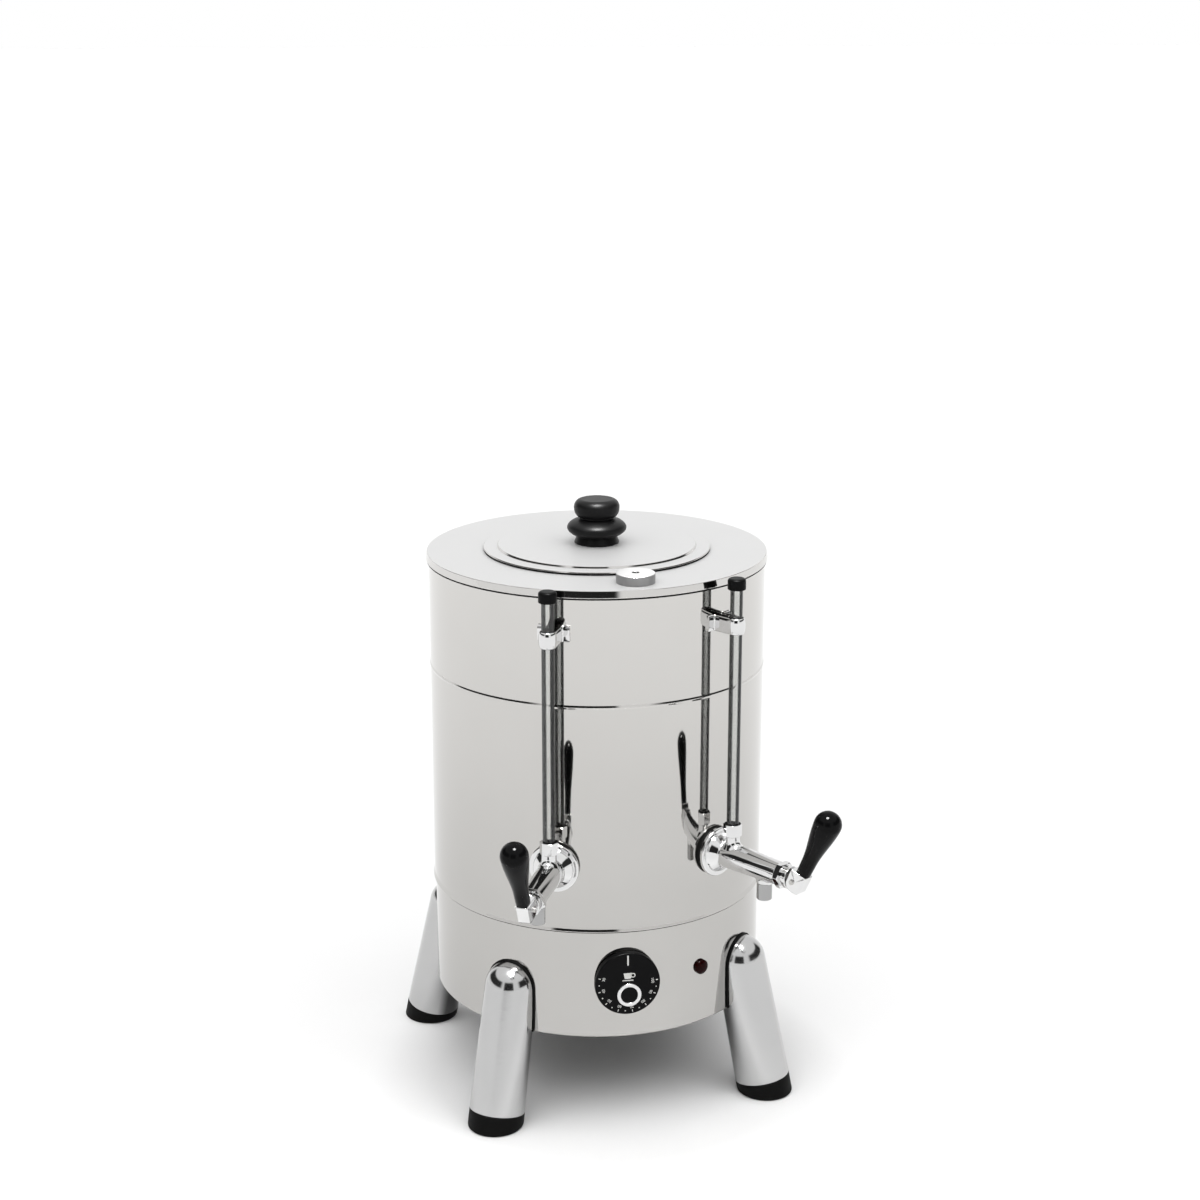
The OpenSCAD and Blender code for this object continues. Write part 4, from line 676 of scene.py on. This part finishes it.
winding = np.linspace(0, 2 * np.pi * COIL_TURNS, 24 * COIL_TURNS + 1)[:, None]
round_wire = np.linspace(0, 2 * np.pi, 10, endpoint=False)[None, :]
wire_r = COIL_R + WIRE_R * np.cos(round_wire)
coil = capped(np.stack([wire_r * np.cos(winding), wire_r * np.sin(winding),
                        COIL_L * winding / winding[-1] + WIRE_R * np.sin(round_wire)], -1))
coil = outward(coil, SPRING_FROM + WIRE_R + COIL_GAP, TAP_Z)
for side, degrees in SIDES.items():
    spring = piece(f"{side}_spring_coil", "urn", [skin(at(coil, degrees), False, True)],
                   satin_steel, [f"{side}_return_spring"])
    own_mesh(spring)

# Bonnets: chromed hexagon collars with a grooved ring, screwed into the barrels' ends. The stem
# slides in the bore, and the lever's cam pushes on the ring's face.
BONNET_BORE_R, GROOVE_R, BONNET_RING_R = 3.05, 8.25, 9.25
HEX_FROM, HEX_TO, GROOVE_FROM, GROOVE_TO, BONNET_END = 211.02, 216.1, 216.0, 219.0, 222.48


def hexagon(corner_r, bore_r, low, high, face_r):
    """Hexagon nut: its side is the flat's distance over the cosine of the angle from the flat's
    middle, and its ends are cut by 30 degree cones from face_r outwards."""
    lean = np.radians([-29.2, -27.5, -22, -11, 0, 11, 22, 27.5, 29.2])
    a = (np.radians(np.arange(0, 360, 60))[:, None] + lean).ravel()[:, None]
    flat = np.broadcast_to(corner_r * math.cos(math.pi / 6) / np.cos(lean), (6, len(lean))).ravel()
    drop = np.maximum(flat - face_r, 0.05) * math.tan(math.pi / 6)
    ones = np.ones_like(flat)
    r = np.stack([bore_r * ones, face_r * ones, flat, flat, face_r * ones, bore_r * ones], 1)
    z = np.stack([low * ones, low * ones, low + drop, high - drop, high * ones, high * ones], 1)
    return np.stack([r * np.sin(a), -r * np.cos(a), z], -1)


bonnet_line = line([(BONNET_BORE_R, GROOVE_FROM, 0.1), (GROOVE_R, GROOVE_FROM, 0.1),
                    (GROOVE_R, GROOVE_TO, 0.3), (BONNET_RING_R, GROOVE_TO, 0.5),
                    (BONNET_RING_R, BONNET_END, 0.6), (BONNET_BORE_R, BONNET_END, 0.2)], closed=True)
collar = hexagon(11.2, BONNET_BORE_R, HEX_FROM, HEX_TO, face_r=9.9)
for side, degrees in SIDES.items():
    rings = [skin(at(outward(grid, 0, TAP_Z), degrees), True, True)
             for grid in (collar, turned(bonnet_line, 64))]
    piece(f"{side}_bonnet_collar", "urn", rings, chrome, [f"{side}_bonnet"], crease=25)

# Levers: chromed blocks that pinch the stem's tongue on a pin. The lower end is an eccentric cam
# that pushes on the bonnet as the lever is pulled outwards.
PIVOT_AT, LEVER_LEAN = 228.25, math.radians(26)
LEVER_W, LEVER_EDGE, CAM_W, LEVER_ROOT = 16.0, 0.9, 2.487, 10.0


def on_lever(points, degrees):
    """Points (across, along the lever, away from the tank) about the lever's pin."""
    x, u, w = np.moveaxis(points, -1, 0)
    c, s = math.cos(LEVER_LEAN), math.sin(LEVER_LEAN)
    return at(np.stack([x, -(PIVOT_AT + w * c + u * s), TAP_Z - w * s + u * c], -1), degrees)


LEVER_IN, LEVER_OUT, LEVER_TAPER, CAM_END = -5.0, 8.5, 0.45, -8.6
SLOT_HALF, SLOT_TOP, SLOT_OUT = 3.3, 6.0, 4.8
block_line = line([(CAM_END, -4.5, 6.9), (LEVER_ROOT, LEVER_IN, 0.8), (LEVER_ROOT, LEVER_OUT, 0.8),
                   (CAM_END, LEVER_OUT, 3.4)], closed=True)
slot_line = band(-30.0, SLOT_TOP, -21.0, SLOT_OUT, 0, 0, 0, 0)
wedge = slab(block_line, LEVER_W / 2, LEVER_EDGE)
wedge[..., 0] *= 1 - LEVER_TAPER * (wedge[..., 2] - LEVER_IN) / (LEVER_OUT - LEVER_IN)
for side, degrees in SIDES.items():
    block = piece(f"{side}_lever_block", f"{side}_lever", [skin(on_lever(wedge, degrees))],
                  chrome, [f"{side}_lever"])
    carved(block, mesh_of("slot", [skin(on_lever(slab(slot_line, SLOT_HALF, 0.01), degrees))]))

# Grips: club-shaped mouldings of glossy black thermoset, pushed over the levers' tangs. A slow
# taper runs into a swell, and a half-round bulb closes the top.
GRIP_ROOT_R, GRIP_BULB_R, GRIP_BULB_AT, GRIP_EDGE = 5.75, 11.0, 52.0, 0.9
GRIP_TAPER, GRIP_SWELL, SWELL_FROM = 0.03, 3.69, 12.0
along = np.linspace(GRIP_EDGE, GRIP_BULB_AT, 48)
swell = np.clip((along - SWELL_FROM) / (GRIP_BULB_AT - SWELL_FROM), 0, 1)
club = GRIP_ROOT_R + GRIP_TAPER * along + GRIP_SWELL * swell ** 2 * (3 - 2 * swell)
cap = np.linspace(0, np.pi / 2, 20)[1:]
grip_line = np.concatenate([
    line([(0, 0, 0), (GRIP_ROOT_R, 0, 0.8), (club[0], along[0], 0)])[:-1],
    np.stack([club, along], 1),
    np.stack([club[-1] * np.cos(cap), GRIP_BULB_AT + GRIP_BULB_R * np.sin(cap)], 1)])
x, y, z = np.moveaxis(turned(grip_line, 96), -1, 0)
upright_grip = np.stack([x, LEVER_ROOT + TOUCH + z, CAM_W - y], -1)
for side, degrees in SIDES.items():
    piece(f"{side}_grip_moulding", f"{side}_lever", [skin(on_lever(upright_grip, degrees))],
          black_bakelite, [f"{side}_grip"])

# Sight glasses: clear drawn glass tubes that stand in the taps' upper bosses and show the water and
# coffee levels. Their colour darkens towards the edges, as thick walls look; it darkens on one fixed
# side of each tube as painted shade, and further in reflection rays as a painted dark reflection in the
# tank's mirror.
TUBE_BORE_R, TUBE_R, TUBE_LOW, TUBE_TOP = 3.5, 5.0, 238.02, 456.0
GLASS_CLEAR, GLASS_SHADE = (0.93, 0.94, 0.935, 1), (0.008, 0.009, 0.009, 1)
SHADED_SIDE_WAY, SIDE_SHADE, EDGE_FROM, EDGE_TO, IMAGE_SHADE = (0.966, -0.259, 0.0), 0.09, 0.09, 0.19, 0.8
sight_glass, tree, shader = finish("sight_glass", IOR=1.47, Transmission_Weight=1.0,
                                   Specular_IOR_Level=0.1)
rim = add(tree, "LayerWeight", {"Blend": 0.35}).outputs["Facing"]
surface = add(tree, "NewGeometry")
# Painted shade: the tube's colour darkens on the side that faces one fixed way.
one_side_shade = add(tree, "VectorMath", {0: surface.outputs["Normal"], 1: SHADED_SIDE_WAY}, operation="DOT_PRODUCT")
way_in = ranged(tree, surface.outputs["Backfacing"], SIDE_SHADE, -SIDE_SHADE, 0, 1)
depth = calc(tree, "ADD", rim, calc(tree, "MULTIPLY", one_side_shade.outputs["Value"], way_in))
edge = ranged(tree, depth, 0, 1, EDGE_FROM, EDGE_TO)
image = calc(tree, "MULTIPLY", add(tree, "LightPath").outputs["Is Reflection Ray"], IMAGE_SHADE)
shaded = calc(tree, "MAXIMUM", edge, image)
tree.links.new(mixed(tree, shaded, GLASS_CLEAR, GLASS_SHADE), shader.inputs["Base Color"])
place = add(tree, "TexCoord").outputs["Object"]
film = add(tree, "TexNoise", {"Vector": place, "Scale": 60.0, "Detail": 3.0}).outputs["Fac"]
tree.links.new(ranged(tree, film, 0.0, 0.04), shader.inputs["Roughness"])
tube_line = band(TUBE_BORE_R, TUBE_R, TUBE_LOW, TUBE_TOP, 0.3, 0.3, 0.3, 0.3)
for side, degrees in SIDES.items():
    tube = at(turned(tube_line, 64) + (0, -TUBE_AT, 0), degrees)
    piece(f"{side}_glass_tube", "urn", [skin(tube, True, True)], sight_glass,
          [f"{side}_sight_tube"])

# Gland nuts, caps and clips of the sight glasses: chromed hexagon nuts at the foot, black caps on
# top, and polished clips welded to the shell that pinch each tube below the deck.
CAP_SEAT_Z, CAP_SKIRT_Z, CAP_TOP_Z, CAP_BORE, CAP_OUT_R = TUBE_TOP + TOUCH, 449.5, 458.6, 5.1, 7.25
NUT_LOW, NUT_HIGH = 244.02, 254.0
STRAP_T, STRAP_H, STRAP_Z, STRAP_R, STRAP_FOOT = 1.4, 13.0, 420.0, 5.9, 13.0
WELD_R = 139.9 + STRAP_T / 2
top_line = line([(0, CAP_SEAT_Z, 0), (CAP_BORE, CAP_SEAT_Z, 0.2), (CAP_BORE, CAP_SKIRT_Z, 0.2),
                 (CAP_OUT_R, CAP_SKIRT_Z, 0.7), (CAP_OUT_R, CAP_TOP_Z, 2.4), (0, CAP_TOP_Z, 0)])
foot_bend = line([(-STRAP_FOOT, WELD_R, 0), (-STRAP_R, WELD_R, 2.2), (-STRAP_R, TUBE_AT, 0)])
round_tube = np.linspace(-np.pi / 2, np.pi / 2, 33)[1:-1]
bow = np.stack([STRAP_R * np.sin(round_tube), TUBE_AT + STRAP_R * np.cos(round_tube)], 1)
strap_way = np.concatenate([foot_bend, bow, foot_bend[::-1] * (-1, 1)])
lean = np.linspace(0, 2 * np.pi, 24, endpoint=False)
strap_edge = np.stack([STRAP_T * np.cos(lean), STRAP_H / 2 * np.sin(lean)], 1)
ahead = unit(np.gradient(strap_way, axis=0))
sideways = np.stack([-ahead[:, 1], ahead[:, 0]], 1)
strap = strap_way[:, None] + sideways[:, None] * strap_edge[None, :, :1]
rise = np.broadcast_to(STRAP_Z + strap_edge[None, :, 1:], strap.shape[:2] + (1,))
strap = capped(np.concatenate([strap, rise], -1) * (1, -1, 1))
nut = hexagon(7.8, CAP_BORE, NUT_LOW, NUT_HIGH, face_r=6.7) + (0, -TUBE_AT, 0)
top = turned(top_line, 64) + (0, -TUBE_AT, 0)
nuts = [skin(at(nut, degrees), True, True) for degrees in SIDES.values()]
caps = [skin(at(top, degrees)) for degrees in SIDES.values()]
clips = [skin(at(strap, degrees), False, True) for degrees in SIDES.values()]
piece("tube_nut_pair", "urn", nuts, chrome, ["tube_nuts"], crease=25)
piece("tube_cap_pair", "urn", caps, black_plastic, ["tube_caps"])
piece("tube_clip_pair", "urn", clips, chrome, ["tube_clips"])

# Cable gland at the back of the base: a black plastic hexagon with a tapered nose and a bore for
# the lead. A nut inside the base holds it.
GLAND_FACE, GLAND_Z, GLAND_BORE, HEX_H = 138.92, 105.0, 4.0, 4.0
NOSE_R, NOSE_TIP_R, NOSE_FROM, NOSE_END = 7.5, 6.0, 3.9, 13.0
nose_line = line([(GLAND_BORE, NOSE_FROM, 0.2), (NOSE_R, NOSE_FROM, 0.2), (NOSE_TIP_R, NOSE_END, 1.0),
                  (GLAND_BORE, NOSE_END, 0.5)], closed=True)
gland = [skin(at(outward(grid, GLAND_FACE, GLAND_Z), 180), True, True)
         for grid in (hexagon(10.0, GLAND_BORE, 0.0, HEX_H, face_r=8.9), turned(nose_line, 64))]
piece("gland_moulding", "urn", gland, black_plastic, ["cable_gland"], crease=25)

# Pieces inside the base, the tank and the taps: sheet and turned steel, rubber, moulded plastic, the
# heater's sheath and the wires. Their shapes stay as the solids have them, and get their finishes.
cream_plastic = moulding("cream_plastic", (0.62, 0.59, 0.50), (0.72, 0.69, 0.60), (0.35, 0.5),
                         80.0, 3000.0, 0.1)
wire_cover = moulding("wire_cover", (0.50, 0.14, 0.03), (0.60, 0.19, 0.05), (0.35, 0.5),
                      120.0, 4000.0, 0.1)
heater_sheath = metal("heater_sheath", (0.20, 0.18, 0.165), (0.34, 0.31, 0.29), (0.3, 0.5),
                      40.0, 900.0, 0.1)
# The bottom plate and its screws are coloured a dark steel grey so that little light bounces off them
# onto the floor: colour standing in for shade, which keeps the urn's shadow deep.
shadow_deepening_steel = metal("shadow_deepening_steel", (0.13, 0.13, 0.13), (0.20, 0.20, 0.20), (0.42, 0.55),
                   12.0, 1200.0, 0.1)
INSIDE = {
    shadow_deepening_steel: ["bottom_plate", "bottom_screws"],
    satin_steel: ["tank_floor", "filler_collar", "coffee_pipe", "element_nuts", "thermostat_nut",
                  "thermostat_shaft", "leg_bolts", "tap_locknuts", "left_stem", "right_stem",
                  "left_lever_pin", "right_lever_pin", "filter_basket", "knob_screw"],
    rubber: ["tap_gaskets", "left_seat_washer", "right_seat_washer"],
    black_plastic: ["thermostat", "gland_nut"],
    cream_plastic: ["pilot_body", "terminal_block"],
    heater_sheath: ["heating_element"],
    wire_cover: ["wiring"],
}
for look, names in INSIDE.items():
    for name in names:
        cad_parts[name].data.materials.clear()
        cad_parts[name].data.materials.append(look)

# Studio floor: a matt white sheet that the urn stands on. Camera and mirror rays see extra white on it:
# painted light that is strongest in a ring just round the urn, where it lightens the edge of the urn's
# shadow, and a little even white further out, so the floor fades into the surround while the shadow
# beneath stays.
FLOOR_HALF, FLOOR_TONE = 60.0, (0.80, 0.80, 0.80, 1)
SHADE_AT = (0.0, -0.05, 0.0)
PAINTED_FLOOR_LIGHT = ((0.15, 0), (0.21, 0.16), (0.32, 0.12), (0.55, 0.05), (1.0, 0.07))


def ramped(tree, value, *stops):
    """Grey that follows a value through stops (value, tone)."""
    made = add(tree, "ValToRGB", {"Fac": value})
    ends = made.color_ramp.elements
    ends[0].position, ends[1].position = stops[0][0], stops[-1][0]
    ends[0].color, ends[1].color = ((tone, tone, tone, 1) for tone in (stops[0][1], stops[-1][1]))
    for spot, tone in stops[1:-1]:
        ends.new(spot).color = (tone, tone, tone, 1)
    return made.outputs["Color"]


floor_mesh = bpy.data.meshes.new("studio_floor")
corners = [(x * FLOOR_HALF, y * FLOOR_HALF, 0) for x, y in ((-1, -1), (1, -1), (1, 1), (-1, 1))]
floor_mesh.from_pydata(corners, [], [(0, 1, 2, 3)])
floor = bpy.data.objects.new("studio_floor", floor_mesh)
bpy.context.scene.collection.objects.link(floor)
white_floor = bpy.data.materials.new("white_floor")
white_floor.use_nodes = True
tree = white_floor.node_tree
tree.nodes.clear()
seen = add(tree, "LightPath").outputs
mirrored = calc(tree, "ADD", seen["Is Glossy Ray"], seen["Is Transmission Ray"])
direct = calc(tree, "ADD", seen["Is Camera Ray"], mirrored, use_clamp=True)
place = add(tree, "TexCoord").outputs["Object"]
away = add(tree, "VectorMath", {0: place, 1: SHADE_AT}, operation="DISTANCE").outputs["Value"]
painted_floor_glow = calc(tree, "MULTIPLY", direct, ramped(tree, away, *PAINTED_FLOOR_LIGHT))
matt = add(tree, "BsdfDiffuse", {"Color": FLOOR_TONE})
lift = add(tree, "Emission", {"Color": (1, 1, 1, 1), "Strength": painted_floor_glow})
both = add(tree, "AddShader", {0: matt.outputs[0], 1: lift.outputs[0]})
add(tree, "OutputMaterial", {"Surface": both.outputs[0]})
floor_mesh.materials.append(white_floor)

# Surround: white to the camera, with dark cards that only reflections see and that draw the dark
# lines on the polished metal. Matt surfaces are lit by a broad bank above the front.
CARD_TONE, FRONT_CARD_TONE = (0.03, 0.03, 0.03, 1), (0.02, 0.02, 0.02, 1)
FRONT_TURN, BANK_STRENGTH = math.radians(105), 2.68
SIDE_CARDS = ((0.12, 0), (0.15, 1), (0.37, 1), (0.40, 0), (0.60, 0), (0.63, 1), (0.85, 1), (0.88, 0))
SIDE_RISE = ((0.10, 0), (0.13, 1), (0.50, 1), (0.56, 0))
FRONT_CARD = ((0.414, 0), (0.424, 1), (0.534, 1), (0.544, 0))
FRONT_RISE = ((0.0, 0), (0.02, 1), (0.52, 1), (0.58, 0))
BANK_WIDTH = ((0.10, 0.25), (0.32, 1), (0.70, 1), (0.92, 0.25))
BANK_RISE = ((0.0, 0.01), (0.46, 0.05), (0.73, 1), (1.0, 1))
world = bpy.data.worlds.new("studio")
bpy.context.scene.world = world
world.use_nodes = True
tree = world.node_tree
tree.nodes.clear()
way = add(tree, "TexCoord").outputs["Generated"]
height = add(tree, "SeparateXYZ", {0: way}).outputs["Z"]
turned_way = add(tree, "Mapping", {"Vector": way, "Rotation": (0, 0, FRONT_TURN)}).outputs[0]
bearing = add(tree, "TexGradient", {"Vector": turned_way}, gradient_type="RADIAL").outputs["Fac"]


def patch(rise, width):
    """Grey patch of the surround: its tone by height times its tone by bearing."""
    tall, wide = ramped(tree, height, *rise), ramped(tree, bearing, *width)
    made = add(tree, "Mix", {0: 1.0, 6: tall, 7: wide}, data_type="RGBA", blend_type="MULTIPLY")
    return made.outputs[2]


shine = mixed(tree, patch(SIDE_RISE, SIDE_CARDS), (1, 1, 1, 1), CARD_TONE)
shine = mixed(tree, patch(FRONT_RISE, FRONT_CARD), shine, FRONT_CARD_TONE)
seen = add(tree, "LightPath").outputs
mirrored = calc(tree, "ADD", seen["Is Glossy Ray"], seen["Is Transmission Ray"], use_clamp=True)
sky = add(tree, "Background", {"Color": mixed(tree, mirrored, (1, 1, 1, 1), shine), "Strength": 1.0})
bank = add(tree, "Background", {"Color": patch(BANK_RISE, BANK_WIDTH), "Strength": BANK_STRENGTH})
pick = add(tree, "MixShader", {0: seen["Is Diffuse Ray"], 1: sky.outputs[0], 2: bank.outputs[0]})
add(tree, "OutputWorld", {"Surface": pick.outputs[0]})

# Lamp: a round soft box above the front that leaves small highlights on the knob, the grips and the
# legs' domes. The lid and the deck are kept out of it, so that no hard glint lies on them.
BOX_BEARING, BOX_RISE, BOX_AWAY, AIM_AT = math.radians(-12), math.radians(72), 2.2, (0, 0, 0.2)
light = bpy.data.lights.new("soft_box", "AREA")
light.energy, light.shape, light.size = 150.0, "DISK", 0.7
soft_box = bpy.data.objects.new("soft_box", light)
ahead = Vector((math.sin(BOX_BEARING) * math.cos(BOX_RISE), -math.cos(BOX_BEARING) * math.cos(BOX_RISE),
                math.sin(BOX_RISE)))
soft_box.location = ahead * BOX_AWAY + Vector(AIM_AT)
soft_box.rotation_euler = ahead.to_track_quat("Z", "Y").to_euler()
soft_box.visible_diffuse = False
bpy.context.scene.collection.objects.link(soft_box)
no_glint = bpy.data.collections.new("no_glint")
for name in ("lid_pressing", "deck_ring"):
    no_glint.objects.link(bpy.data.objects[name])
for entry in no_glint.collection_objects:
    entry.light_linking.link_state = "EXCLUDE"
soft_box.light_linking.receiver_collection = no_glint

# Camera: from the front, a little to the left of the dial and above the deck, with a short tele
# lens. Its small shift sets the urn's place in the frame.
CAMERA_AT, CAMERA_DOWN, CAMERA_TURN = (-0.4498, -1.6787, 0.8829), 15.234, -15
camera = bpy.data.cameras.new("photo_camera")
camera.lens, camera.sensor_width, camera.shift_x = 64.41, 36.0, 0.0027
camera_stand = bpy.data.objects.new("photo_camera", camera)
camera_stand.location = CAMERA_AT
camera_stand.rotation_euler = (math.radians(90 - CAMERA_DOWN), 0, math.radians(CAMERA_TURN))
bpy.context.scene.collection.objects.link(camera_stand)
bpy.context.scene.camera = camera_stand
bpy.context.scene.view_settings.view_transform = "Standard"

bpy.context.view_layer.update()
